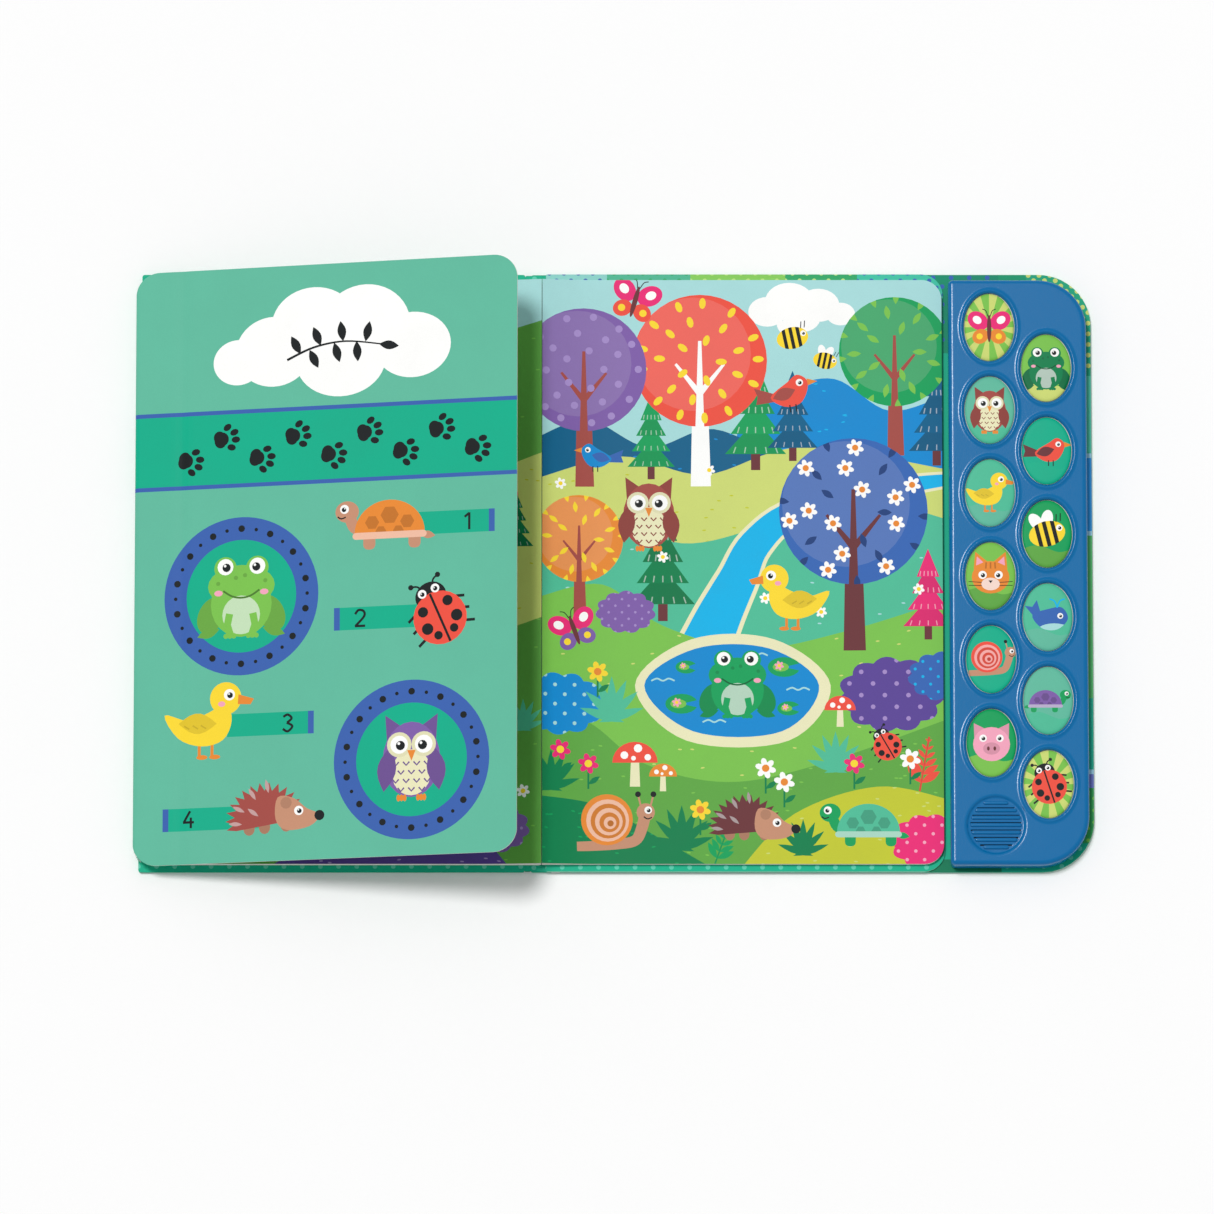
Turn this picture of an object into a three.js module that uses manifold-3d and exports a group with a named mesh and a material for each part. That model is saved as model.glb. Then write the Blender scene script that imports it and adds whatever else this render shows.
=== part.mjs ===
// An open sound book for small children, lying flat on a table.
// A case of three boards carries two glued blocks of stiff leaves that meet at the gutter.
// The back board runs on past the pages and carries a plastic sound module with oval picture
// buttons and a speaker grille. A card flap folds out from the left page's outer edge.
// Millimetres. The origin lies under the gutter on the table, X runs across the spread,
// Y to the top of the pages and Z up.

import * as THREE from 'three';
import { mergeVertices } from 'three/addons/utils/BufferGeometryUtils.js';
import Module from 'manifold-3d';

// Case boards
const BOARD_HEIGHT = 261;
const BOARD_THICK = 2;
const FRONT_REACH = 172.75;
const BACK_REACH = 236.75;
const BACK_CORNER = 22.5;
const BOARD_SQUARE_CORNER = 1;
const SPINE_WIDTH = 9.5;
const SPINE_THICK = 1.75;
const SPINE_GROOVE = 2.5;

// Leaf blocks
const LEAF_WIDTH = 172.2;
const LEAF_HEIGHT = 255;
const LEAF_CORNER = 8.6;
const LEAF_THICK = 0.5;
const LEFT_LEAVES = 7;
const LEAF_NOTCH = 0.16;
const GUTTER_HALF_GAP = 0.15;
const SPINE_CHAMFER = 1.2;

// Board that backs the right-hand leaves
const END_BOARD_THICK = 1;
const END_BOARD_MARGIN = 0.65;
const END_BOARD_CORNER = 9.5;
const END_BOARD_SET_BACK = 0.3;

// Fold-out flap
const FLAP_THICK = 0.6;
const FLAP_HEIGHT = 258.6;
const FLAP_CORNER = 10.3;
const FOLD_RADIUS = 2.3;
const FOLD_STAND_OFF = 0.35;
const FLAP_RUN = 163.9;
const FLAP_RISE_DEG = 15;

// Sound module housing
const MODULE_GAP = 2.1;
const MODULE_WIDTH = 59.3;
const MODULE_LENGTH = 255.2;
const MODULE_SHIFT = -1.2;
const MODULE_HEIGHT = 10;
const MODULE_WALL = 1.5;
const MODULE_INNER_CORNER = 2;
const MODULE_OUTER_CORNER = 21;
const MODULE_EDGE_ROUND = 1.8;

// Picture buttons and their windows
const WINDOW_HALF_WIDTH = 10.95;
const WINDOW_HALF_HEIGHT = 14.95;
const WINDOW_PITCH = 36.3;
const LEFT_COLUMN_INSET = 17.6;
const COLUMN_SPACING = 24.4;
const FIRST_WINDOW_DROP = 20.8;
const COLUMN_STAGGER = 17.9;
const LIP_WIDTH = 1.5;
const LIP_HEIGHT = 0.6;
const BUTTON_CLEARANCE = 0.3;
const BUTTON_FLANGE = 1;
const BUTTON_FLANGE_THICK = 0.7;
const BUTTON_RECESS = 0.75;
const BUTTON_CROWN = 0.15;
const BUTTON_SHOULDER = 1.6;
const BUTTON_TRAVEL = 1;

// Speaker grille and speaker
const GRILLE_INSET = 19.3;
const GRILLE_RISE = 17.2;
const GRILLE_RADIUS = 12.4;
const GRILLE_SLATS = 6;
const GRILLE_SLAT_WIDTH = 2.1;
const GRILLE_DISH = 0.5;
const SPEAKER_RADIUS = 13.2;
const SPEAKER_DEPTH = 3.4;
const CONE_THICK = 0.4;
const MAGNET_RADIUS = 6.5;
const MAGNET_DEPTH = 1.6;
const SPEAKER_COLLAR = 1;

// Works inside the module
const BASE_THICK = 1.2;
const PCB_THICK = 1.6;
const PCB_STAND_OFF = 1.2;
const PCB_SIDE_MARGIN = 5.5;
const MAT_THICK = 0.8;
const MAT_BAND = 13.4;
const DOME_RADIUS = 3.5;
const DOME_MARGIN = 4.2;
const CHIP_SIZE = 7.4;
const CHIP_HEIGHT = 1.3;
const CHIP_RISE = 36.8;
const POST_RADIUS = 2;

// Battery box in the back board
const CELL_RADIUS = 5.8;
const CELL_HEIGHT = 5.4;
const CELL_COUNT = 3;
const CELL_PITCH = 12.3;
const BATTERY_DROP = 110.4;
const BATTERY_WALL = 1;
const CONTACT_THICK = 0.3;
const CONTACT_WIDTH = 5;
const DOOR_WIDTH = 17.6;
const DOOR_LENGTH = 51;
const DOOR_THICK = 1.2;
const DOOR_RECESS = 0.25;
const DOOR_RIM = 1.1;
const FINGER_NOTCH = 3.5;

// Screws
const SCREW_RADIUS = 0.9;
const SCREW_HEAD_RADIUS = 1.8;
const SCREW_HEAD_THICK = 0.9;
const BOSS_RADIUS = 2.3;
const BOSS_INSET = 4.5;

// Clearances
const SEAT_GAP = 0.3;
const SLIDE_GAP = 0.2;

// Smoothness of curves
const OVAL_STEPS = 24;
const CORNER_STEPS = 6;
const WIDE_CORNER_STEPS = 8;
const ROUND_STEPS = 28;

// Heights worked out from the layers
const leafTop = BOARD_THICK + LEFT_LEAVES * LEAF_THICK;
const endBoardTop = BOARD_THICK + END_BOARD_THICK;
const rightLeaves = Math.round((leafTop - endBoardTop) / LEAF_THICK);
const boardEdge = SPINE_WIDTH / 2 + SPINE_GROOVE;
const leafReach = GUTTER_HALF_GAP + LEAF_WIDTH;
const endBoardReach = leafReach + END_BOARD_MARGIN;
const moduleLeft = endBoardReach + MODULE_GAP;
const moduleRight = moduleLeft + MODULE_WIDTH;
const moduleBottom = MODULE_SHIFT - MODULE_LENGTH / 2;
const moduleTop = MODULE_SHIFT + MODULE_LENGTH / 2;
const moduleFace = BOARD_THICK + MODULE_HEIGHT;
const faceUnderside = moduleFace - MODULE_WALL;
const flangeTop = faceUnderside - SEAT_GAP;
const flangeBottom = flangeTop - BUTTON_FLANGE_THICK;
const pressedBottom = flangeBottom - BUTTON_TRAVEL;
const buttonFace = moduleFace - BUTTON_RECESS;
const baseTop = BOARD_THICK + BASE_THICK;
const pcbBottom = baseTop + PCB_STAND_OFF;
const pcbTop = pcbBottom + PCB_THICK;
const matTop = pcbTop + MAT_THICK;
const domeTop = pressedBottom - SLIDE_GAP;
const grilleX = moduleLeft + GRILLE_INSET;
const grilleY = moduleBottom + GRILLE_RISE;
const batteryX = moduleLeft + MODULE_WIDTH / 2;
const batteryY = moduleTop - BATTERY_DROP;
const collarRadius = SPEAKER_RADIUS + SEAT_GAP + SPEAKER_COLLAR;
const columnRoom = MODULE_LENGTH - FIRST_WINDOW_DROP - WINDOW_HALF_HEIGHT - LIP_WIDTH
  - GRILLE_RISE - collarRadius;
const windowRows = 1 + Math.floor(columnRoom / WINDOW_PITCH);

const wasm = await Module();
wasm.setup();

// Turns a closed geometry into a solid that can be joined and cut.
function solid(geometry) {
  const bare = geometry.clone();
  bare.deleteAttribute('normal');
  bare.deleteAttribute('uv');
  const merged = mergeVertices(bare, 1e-4);
  const index = merged.index.array;
  return new wasm.Manifold(new wasm.Mesh({
    numProp: 3,
    vertProperties: new Float32Array(merged.attributes.position.array),
    triVerts: new Uint32Array(index),
  }));
}

function geometryOf(body) {
  const mesh = body.getMesh();
  const geometry = new THREE.BufferGeometry();
  geometry.setAttribute('position', new THREE.BufferAttribute(mesh.vertProperties, 3));
  geometry.setIndex(new THREE.BufferAttribute(mesh.triVerts, 1));
  geometry.computeVertexNormals();
  return geometry;
}

function joined(bodies) {
  return bodies.reduce((whole, next) => whole.add(next));
}

// Skins a stack of rings that all have the same number of points, and caps both ends.
function loft(rings) {
  const count = rings[0].length;
  const positions = rings.flat().flatMap((p) => [p.x, p.y, p.z]);
  const index = [];
  for (let r = 0; r + 1 < rings.length; r++) {
    for (let i = 0; i < count; i++) {
      const j = (i + 1) % count;
      const a = r * count + i;
      const b = r * count + j;
      index.push(a, b, b + count, a, b + count, a + count);
    }
  }
  const first = rings[0].map((p) => new THREE.Vector2(p.x, p.y));
  const caps = THREE.ShapeUtils.triangulateShape(first, []);
  const last = (rings.length - 1) * count;
  for (const [a, b, c] of caps) {
    index.push(c, b, a);
    index.push(last + a, last + b, last + c);
  }
  const geometry = new THREE.BufferGeometry();
  geometry.setAttribute('position', new THREE.Float32BufferAttribute(positions, 3));
  geometry.setIndex(index);
  return geometry;
}

// A rectangle's outline, anticlockwise from its lower left corner, with a radius for each corner.
function rectangle(x0, y0, x1, y1, radii, steps = CORNER_STEPS) {
  const corners = [
    [x0, y0, 1, 1, Math.PI],
    [x1, y0, -1, 1, 1.5 * Math.PI],
    [x1, y1, -1, -1, 0],
    [x0, y1, 1, -1, 0.5 * Math.PI],
  ];
  const points = [];
  corners.forEach(([x, y, sx, sy, start], k) => {
    const r = Math.max(radii[k], 0.02);
    for (let i = 0; i <= steps; i++) {
      const angle = start + (i / steps) * 0.5 * Math.PI;
      points.push(new THREE.Vector2(
        x + sx * r + r * Math.cos(angle),
        y + sy * r + r * Math.sin(angle),
      ));
    }
  });
  return points;
}

function oval(halfWidth, halfHeight, cx = 0, cy = 0, steps = OVAL_STEPS) {
  const points = [];
  for (let i = 0; i < steps; i++) {
    const angle = (i / steps) * 2 * Math.PI;
    points.push(new THREE.Vector2(
      cx + halfWidth * Math.cos(angle),
      cy + halfHeight * Math.sin(angle),
    ));
  }
  return points;
}

function lift(outline, z) {
  return outline.map((p) => new THREE.Vector3(p.x, p.y, z));
}

function prism(outline, z0, z1) {
  return solid(loft([lift(outline, z0), lift(outline, z1)]));
}

function box(x0, y0, z0, x1, y1, z1) {
  const geometry = new THREE.BoxGeometry(x1 - x0, y1 - y0, z1 - z0);
  geometry.translate((x0 + x1) / 2, (y0 + y1) / 2, (z0 + z1) / 2);
  return solid(geometry);
}

function disc(cx, cy, radius, z0, z1, steps = ROUND_STEPS) {
  return prism(oval(radius, radius, cx, cy, steps), z0, z1);
}

// Turned piece: profile points are [radius, height], starting and ending on the axis.
function turned(profile, cx, cy, steps = ROUND_STEPS) {
  const points = profile.map(([r, z]) => new THREE.Vector2(r, z));
  const geometry = new THREE.LatheGeometry(points, steps);
  geometry.rotateX(Math.PI / 2);
  geometry.translate(cx, cy, 0);
  return solid(geometry);
}

// Board cut from greyboard and covered in printed paper, which rounds its long edges a little.
function caseBoard(x0, x1, radii, thick) {
  const half = BOARD_HEIGHT / 2;
  const soft = 0.3;
  const outline = (inset) => rectangle(
    x0 + inset, -half + inset, x1 - inset, half - inset,
    radii.map((r) => Math.max(r - inset, 0.1)), WIDE_CORNER_STEPS,
  );
  return solid(loft([
    lift(outline(soft), 0),
    lift(outline(0), soft),
    lift(outline(0), thick - soft),
    lift(outline(soft), thick),
  ]));
}

function frontCover() {
  const radii = [BOARD_SQUARE_CORNER, BOARD_SQUARE_CORNER, BOARD_SQUARE_CORNER, BOARD_SQUARE_CORNER];
  return caseBoard(-FRONT_REACH, -boardEdge, radii, BOARD_THICK);
}

function spineBoard() {
  const radii = [BOARD_SQUARE_CORNER, BOARD_SQUARE_CORNER, BOARD_SQUARE_CORNER, BOARD_SQUARE_CORNER];
  return caseBoard(-SPINE_WIDTH / 2, SPINE_WIDTH / 2, radii, SPINE_THICK);
}

// The rim of the battery box passes through this hole in the back board.
function rimOutline(grow) {
  const halfWidth = DOOR_WIDTH / 2 + SLIDE_GAP + DOOR_RIM + grow;
  const halfLength = DOOR_LENGTH / 2 + SLIDE_GAP + DOOR_RIM + grow;
  const corner = 2 + grow;
  return rectangle(
    batteryX - halfWidth, batteryY - halfLength, batteryX + halfWidth, batteryY + halfLength,
    [corner, corner, corner, corner],
  );
}

function backCover() {
  const radii = [BOARD_SQUARE_CORNER, BACK_CORNER, BACK_CORNER, BOARD_SQUARE_CORNER];
  const board = caseBoard(boardEdge, BACK_REACH, radii, BOARD_THICK);
  return board.subtract(prism(rimOutline(SEAT_GAP), -1, BOARD_THICK + 1));
}

// A block of glued leaves. Each leaf shows at the trimmed edges as its own fine line, and the
// lower corner at the spine is rubbed away so that the spine board can swing past it.
function leafBlock(side, z0, leaves) {
  const half = LEAF_HEIGHT / 2;
  const outline = (inset) => {
    const near = side * GUTTER_HALF_GAP;
    const far = side * (leafReach - inset);
    const round = LEAF_CORNER - inset;
    const radii = side > 0 ? [0, round, round, 0] : [round, 0, 0, round];
    return rectangle(
      Math.min(near, far), -half + inset, Math.max(near, far), half - inset, radii,
    );
  };
  const rings = [];
  for (let leaf = 0; leaf < leaves; leaf++) {
    const low = z0 + leaf * LEAF_THICK;
    const high = low + LEAF_THICK;
    const mid = (low + high) / 2;
    if (leaf === 0) rings.push(lift(outline(0), low));
    else rings.push(lift(outline(LEAF_NOTCH), low));
    if (leaf > 0) rings.push(lift(outline(0), mid - LEAF_THICK / 4));
    rings.push(lift(outline(0), mid + LEAF_THICK / 4));
    if (leaf === leaves - 1) rings.push(lift(outline(LEAF_NOTCH), high));
  }
  const block = solid(loft(rings));
  const reach = GUTTER_HALF_GAP + SPINE_CHAMFER;
  const overrun = 2;
  const wedge = new THREE.Shape([
    new THREE.Vector2(-overrun, BOARD_THICK - overrun),
    new THREE.Vector2(reach + overrun, BOARD_THICK - overrun),
    new THREE.Vector2(-overrun, BOARD_THICK + reach + overrun),
  ]);
  const cutter = new THREE.ExtrudeGeometry(wedge, { depth: LEAF_HEIGHT + 2 * overrun, bevelEnabled: false });
  cutter.rotateX(Math.PI / 2);
  cutter.translate(0, half + overrun, 0);
  if (side < 0) cutter.rotateZ(Math.PI);
  return block.subtract(solid(cutter));
}

function endBoard() {
  const half = BOARD_HEIGHT / 2;
  const radii = [BOARD_SQUARE_CORNER, END_BOARD_CORNER, END_BOARD_CORNER, BOARD_SQUARE_CORNER];
  const near = GUTTER_HALF_GAP + SPINE_CHAMFER + END_BOARD_SET_BACK;
  const outline = rectangle(near, -half, endBoardReach, half, radii);
  return prism(outline, BOARD_THICK, endBoardTop);
}

// The flap is one piece of card: a short root under the page's edge, a round fold that stands out
// past the cover, a scored strip and a long leaf that springs up at a shallow angle.
function flapPath() {
  const low = leafTop - FLAP_THICK / 2;
  const foldX = -(leafReach + FOLD_STAND_OFF) - 0.9;
  const foldZ = low + FOLD_RADIUS;
  const rise = THREE.MathUtils.degToRad(FLAP_RISE_DEG);
  const path = [{ x: -(leafReach + FOLD_STAND_OFF), z: low, angle: Math.PI }];
  const turns = 12;
  for (let i = 0; i <= turns; i++) {
    const angle = Math.PI - (i / turns) * (Math.PI - rise);
    path.push({
      x: foldX + FOLD_RADIUS * Math.cos(angle + Math.PI / 2),
      z: foldZ + FOLD_RADIUS * Math.sin(angle + Math.PI / 2),
      angle,
    });
  }
  const start = path[path.length - 1];
  const steps = 18;
  for (let i = 1; i <= steps; i++) {
    const share = i / steps;
    const along = FLAP_RUN * (share < 0.85 ? share / 0.85 * 0.93 : 0.93 + (share - 0.85) / 0.15 * 0.07);
    path.push({ x: start.x + along, z: start.z + along * Math.tan(rise), angle: rise });
  }
  return path;
}

function foldOutFlap() {
  const path = flapPath();
  const left = Math.min(...path.map((p) => p.x)) - FLAP_THICK / 2;
  const right = Math.max(...path.map((p) => p.x)) + FLAP_THICK / 2;
  const half = FLAP_HEIGHT / 2;
  const rings = path.map(({ x, z, angle }) => {
    const edge = Math.min(x - left, right - x, FLAP_CORNER);
    const cut = FLAP_CORNER - Math.sqrt(Math.max(0, FLAP_CORNER ** 2 - (FLAP_CORNER - edge) ** 2));
    const y = half - cut;
    const nx = -Math.sin(angle) * FLAP_THICK / 2;
    const nz = Math.cos(angle) * FLAP_THICK / 2;
    return [
      new THREE.Vector3(x + nx, -y, z + nz),
      new THREE.Vector3(x - nx, -y, z - nz),
      new THREE.Vector3(x - nx, y, z - nz),
      new THREE.Vector3(x + nx, y, z + nz),
    ];
  });
  return solid(sweep(rings));
}

// Skins rectangular sections that follow a path, and caps the first and the last.
function sweep(rings) {
  const positions = rings.flat().flatMap((p) => [p.x, p.y, p.z]);
  const index = [];
  for (let r = 0; r + 1 < rings.length; r++) {
    for (let i = 0; i < 4; i++) {
      const a = r * 4 + i;
      const b = r * 4 + (i + 1) % 4;
      index.push(a, b, b + 4, a, b + 4, a + 4);
    }
  }
  const last = (rings.length - 1) * 4;
  index.push(0, 3, 2, 0, 2, 1);
  index.push(last, last + 1, last + 2, last, last + 2, last + 3);
  const geometry = new THREE.BufferGeometry();
  geometry.setAttribute('position', new THREE.Float32BufferAttribute(positions, 3));
  geometry.setIndex(index);
  return geometry;
}

// Centres of the twelve oval windows, left column first, each from the top down.
function windowCentres() {
  const centres = [];
  for (let column = 0; column < 2; column++) {
    for (let row = 0; row < windowRows; row++) {
      centres.push(new THREE.Vector2(
        moduleLeft + LEFT_COLUMN_INSET + column * COLUMN_SPACING,
        moduleTop - FIRST_WINDOW_DROP - row * WINDOW_PITCH - column * COLUMN_STAGGER,
      ));
    }
  }
  return centres;
}

function moduleOutline(inset) {
  return rectangle(
    moduleLeft + inset, moduleBottom + inset, moduleRight - inset, moduleTop - inset,
    [MODULE_INNER_CORNER, MODULE_OUTER_CORNER, MODULE_OUTER_CORNER, MODULE_INNER_CORNER]
      .map((r) => Math.max(r - inset, 0.4)),
    WIDE_CORNER_STEPS,
  );
}

// The moulded lip round a window: a low rounded rim that stands up from the housing's face.
function windowLip(centre) {
  const ring = (grow, z) => lift(
    oval(WINDOW_HALF_WIDTH + grow, WINDOW_HALF_HEIGHT + grow, centre.x, centre.y), z,
  );
  const roots = moduleFace - MODULE_WALL / 2;
  return solid(loft([
    ring(LIP_WIDTH, roots),
    ring(LIP_WIDTH, moduleFace),
    ring(LIP_WIDTH * 0.8, moduleFace + LIP_HEIGHT * 0.7),
    ring(LIP_WIDTH * 0.45, moduleFace + LIP_HEIGHT),
    ring(0.1, moduleFace + LIP_HEIGHT * 0.8),
  ]));
}

// The grille is a shallow dish in the face with level slats across it.
function grilleSlots() {
  const slots = [];
  const pitch = 2 * GRILLE_RADIUS / (GRILLE_SLATS + 1);
  for (let i = 0; i < GRILLE_SLATS + 1; i++) {
    const y = grilleY - GRILLE_RADIUS + pitch * (i + 0.5);
    const slot = pitch - GRILLE_SLAT_WIDTH;
    const half = slot / 2;
    const reach = Math.sqrt(GRILLE_RADIUS ** 2 - (Math.abs(y - grilleY) + half) ** 2);
    const halfLength = reach - 0.4;
    if (halfLength > slot) {
      slots.push(prism(
        rectangle(grilleX - halfLength, y - half, grilleX + halfLength, y + half,
          [half, half, half, half].map((r) => r * 0.98), 3),
        faceUnderside - 1, moduleFace + 1,
      ));
    }
  }
  return joined(slots);
}

function bossCentres() {
  const rows = [0, windowRows - 2];
  const left = rows.map((row) => new THREE.Vector2(
    moduleLeft + BOSS_INSET,
    moduleTop - FIRST_WINDOW_DROP - (row + 0.5) * WINDOW_PITCH,
  ));
  const right = rows.map((row) => new THREE.Vector2(
    moduleRight - BOSS_INSET,
    moduleTop - FIRST_WINDOW_DROP - COLUMN_STAGGER - (row + 0.5) * WINDOW_PITCH,
  ));
  return [...left, ...right];
}

// Moulded front shell: rounded front edge, thin walls that stand on the back board, windows with
// lips, the slatted grille, a collar that holds the speaker and four screw bosses.
function moduleHousing() {
  const edge = [];
  const roundSteps = 4;
  for (let i = 0; i <= roundSteps; i++) {
    const angle = (i / roundSteps) * 0.5 * Math.PI;
    edge.push(lift(
      moduleOutline(MODULE_EDGE_ROUND * (1 - Math.cos(angle))),
      moduleFace - MODULE_EDGE_ROUND * (1 - Math.sin(angle)),
    ));
  }
  let shell = solid(loft([lift(moduleOutline(0), BOARD_THICK), ...edge]));
  shell = shell.subtract(prism(moduleOutline(MODULE_WALL), BOARD_THICK - 1, faceUnderside));
  const centres = windowCentres();
  shell = joined([shell, ...centres.map(windowLip)]);
  const holes = centres.map((c) => prism(
    oval(WINDOW_HALF_WIDTH, WINDOW_HALF_HEIGHT, c.x, c.y), faceUnderside - 1, moduleFace + 3,
  ));
  shell = shell.subtract(joined(holes));
  shell = shell.subtract(turned([
    [0, moduleFace - GRILLE_DISH],
    [GRILLE_RADIUS - 0.6, moduleFace - GRILLE_DISH],
    [GRILLE_RADIUS + 0.2, moduleFace + 0.3],
    [0, moduleFace + 0.3],
  ], grilleX, grilleY));
  shell = shell.subtract(grilleSlots());
  const collarInner = collarRadius - SPEAKER_COLLAR;
  const collar = disc(grilleX, grilleY, collarRadius, pcbTop, faceUnderside + 0.5)
    .subtract(disc(grilleX, grilleY, collarInner, pcbTop - 1, faceUnderside + 1));
  const ring = collar.subtract(disc(grilleX, grilleY, GRILLE_RADIUS, pcbTop, moduleFace + 1));
  shell = shell.add(ring);
  const bores = [];
  for (const c of bossCentres()) {
    shell = shell.add(disc(c.x, c.y, BOSS_RADIUS, baseTop + SEAT_GAP, faceUnderside + 0.5, 16));
    bores.push(disc(c.x, c.y, SCREW_RADIUS + SEAT_GAP, baseTop, faceUnderside - 1, 12));
  }
  return shell.subtract(joined(bores));
}

// A picture button: a lightly crowned oval that fills its window, on a flange held behind it.
function pictureButton() {
  const ring = (grow, z) => lift(
    oval(WINDOW_HALF_WIDTH + grow, WINDOW_HALF_HEIGHT + grow), z,
  );
  return solid(loft([
    ring(BUTTON_FLANGE, flangeBottom),
    ring(BUTTON_FLANGE, flangeTop),
    ring(-BUTTON_CLEARANCE, flangeTop),
    ring(-BUTTON_CLEARANCE, buttonFace - BUTTON_CROWN),
    ring(-BUTTON_CLEARANCE - BUTTON_SHOULDER, buttonFace),
  ]));
}

function screw(cx, cy, headBottom, tip) {
  const neck = headBottom + SCREW_HEAD_THICK;
  return turned([
    [0, headBottom],
    [SCREW_HEAD_RADIUS, headBottom],
    [SCREW_HEAD_RADIUS, neck - 0.3],
    [SCREW_RADIUS, neck],
    [SCREW_RADIUS, tip - 0.8],
    [0, tip],
  ], cx, cy, 16);
}

const pocketHalfWidth = CELL_RADIUS + SEAT_GAP;
const pocketHalfLength = (CELL_COUNT - 1) * CELL_PITCH / 2 + CELL_RADIUS + SEAT_GAP;
const doorTop = DOOR_RECESS + DOOR_THICK;
const lowerContactTop = doorTop + CONTACT_THICK;
const cellBottom = lowerContactTop + SLIDE_GAP / 2;
const cellTop = cellBottom + CELL_HEIGHT;
const upperContact = cellTop + SLIDE_GAP / 2;
const ceiling = upperContact + CONTACT_THICK;
const doorScrewY = batteryY + DOOR_LENGTH / 2 - 4;

function batteryOutline(grow) {
  const round = CELL_RADIUS + grow;
  return rectangle(
    batteryX - pocketHalfWidth - grow, batteryY - pocketHalfLength - grow,
    batteryX + pocketHalfWidth + grow, batteryY + pocketHalfLength + grow,
    [round, round, round, round],
  );
}

// Base plate inside the housing, with the battery box that reaches down through the back board.
function moduleBase() {
  let base = prism(moduleOutline(MODULE_WALL + SEAT_GAP), BOARD_THICK, baseTop);
  base = base.add(prism(rimOutline(0), DOOR_RECESS, baseTop));
  base = base.add(prism(batteryOutline(BATTERY_WALL), BOARD_THICK, ceiling + BATTERY_WALL / 2));
  base = base.add(disc(batteryX, doorScrewY, BOSS_RADIUS, BOARD_THICK, pcbTop, 16));
  const halfWidth = DOOR_WIDTH / 2 + SLIDE_GAP;
  const halfLength = DOOR_LENGTH / 2 + SLIDE_GAP;
  base = base.subtract(prism(rectangle(
    batteryX - halfWidth, batteryY - halfLength, batteryX + halfWidth, batteryY + halfLength,
    [1, 1, 1, 1],
  ), -1, doorTop + SLIDE_GAP / 2));
  base = base.subtract(prism(batteryOutline(0), -1, ceiling));
  base = base.subtract(disc(batteryX, doorScrewY, SCREW_RADIUS + SEAT_GAP, -1, pcbBottom, 12));
  for (const c of bossCentres()) {
    base = base.subtract(disc(c.x, c.y, SCREW_RADIUS + SEAT_GAP, 0, baseTop + 1, 12));
    base = base.subtract(disc(
      c.x, c.y, SCREW_HEAD_RADIUS + SEAT_GAP, 0, BOARD_THICK + SCREW_HEAD_THICK, 16,
    ));
  }
  for (const p of postCentres()) {
    base = base.add(disc(p.x, p.y, POST_RADIUS, baseTop - 0.2, pcbBottom, 12));
  }
  return base;
}

const pcbLeft = moduleLeft + MODULE_WALL + PCB_SIDE_MARGIN;
const pcbRight = moduleRight - MODULE_WALL - PCB_SIDE_MARGIN;
const lowestWindowY = moduleTop - FIRST_WINDOW_DROP - (windowRows - 1) * WINDOW_PITCH - COLUMN_STAGGER;
const pcbLow = lowestWindowY - DOME_MARGIN;
const pcbHigh = moduleTop - FIRST_WINDOW_DROP + DOME_MARGIN + 2;

function postCentres() {
  const inset = POST_RADIUS + 1;
  const xs = [pcbLeft + inset, pcbRight - inset];
  const ys = [pcbLow + inset, (pcbLow + pcbHigh) / 2, pcbHigh - inset];
  return xs.flatMap((x) => ys.map((y) => new THREE.Vector2(x, y)));
}

// Contact board with an opening round the battery box.
function circuitBoard() {
  const board = prism(
    rectangle(pcbLeft, pcbLow, pcbRight, pcbHigh, [1, 1, 1, 1]), pcbBottom, pcbTop,
  );
  const screwWay = disc(batteryX, doorScrewY, BOSS_RADIUS + SEAT_GAP, 0, matTop, 16);
  return board.subtract(prism(batteryOutline(BATTERY_WALL + SEAT_GAP), 0, matTop)).subtract(screwWay);
}

// Rubber mat with one dome under each button, in two bands joined across the board.
function contactMat() {
  const centres = windowCentres();
  const bands = [0, 1].map((column) => {
    const own = centres.filter((c, k) => Math.floor(k / windowRows) === column);
    const top = own[0].y + DOME_MARGIN;
    const bottom = own[windowRows - 1].y - DOME_MARGIN + 0.4;
    const inner = batteryX + (column ? 1 : -1) * (pocketHalfWidth + BATTERY_WALL + SEAT_GAP);
    const outer = inner + (column ? 1 : -1) * MAT_BAND;
    return box(Math.min(inner, outer), bottom, pcbTop, Math.max(inner, outer), top, matTop);
  });
  const bridgeY = batteryY + pocketHalfLength + 20;
  const bridge = box(batteryX - MAT_BAND, bridgeY, pcbTop, batteryX + MAT_BAND, bridgeY + MAT_BAND, matTop);
  const domes = centres.map((c) => turned([
    [0, pcbTop],
    [DOME_RADIUS, pcbTop],
    [DOME_RADIUS, matTop + 0.1],
    [DOME_RADIUS * 0.55, domeTop],
    [0, domeTop],
  ], c.x, c.y, 14));
  return joined([...bands, bridge, ...domes]);
}

function soundChip() {
  const half = CHIP_SIZE / 2;
  const y = pcbLow + CHIP_RISE;
  const ring = (inset, z) => lift(rectangle(
    batteryX - half + inset, y - half + inset, batteryX + half - inset, y + half - inset,
    [1, 1, 1, 1], 3,
  ), z);
  return solid(loft([ring(0, pcbTop), ring(0.3, pcbTop + CHIP_HEIGHT * 0.6), ring(1.6, pcbTop + CHIP_HEIGHT)]));
}

const speakerTop = faceUnderside - SEAT_GAP;
const speakerBottom = speakerTop - SPEAKER_DEPTH;

function speakerFrame() {
  const r = SPEAKER_RADIUS;
  return turned([
    [MAGNET_RADIUS - 1.5, speakerBottom],
    [MAGNET_RADIUS + 0.8, speakerBottom],
    [r - 1.2, speakerTop - 1],
    [r, speakerTop - 1],
    [r, speakerTop],
    [r - 1.8, speakerTop],
    [r - 1.8, speakerTop - 0.5],
    [MAGNET_RADIUS - 1.5, speakerBottom + 0.9],
    [MAGNET_RADIUS - 1.5, speakerBottom],
  ], grilleX, grilleY);
}

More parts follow.
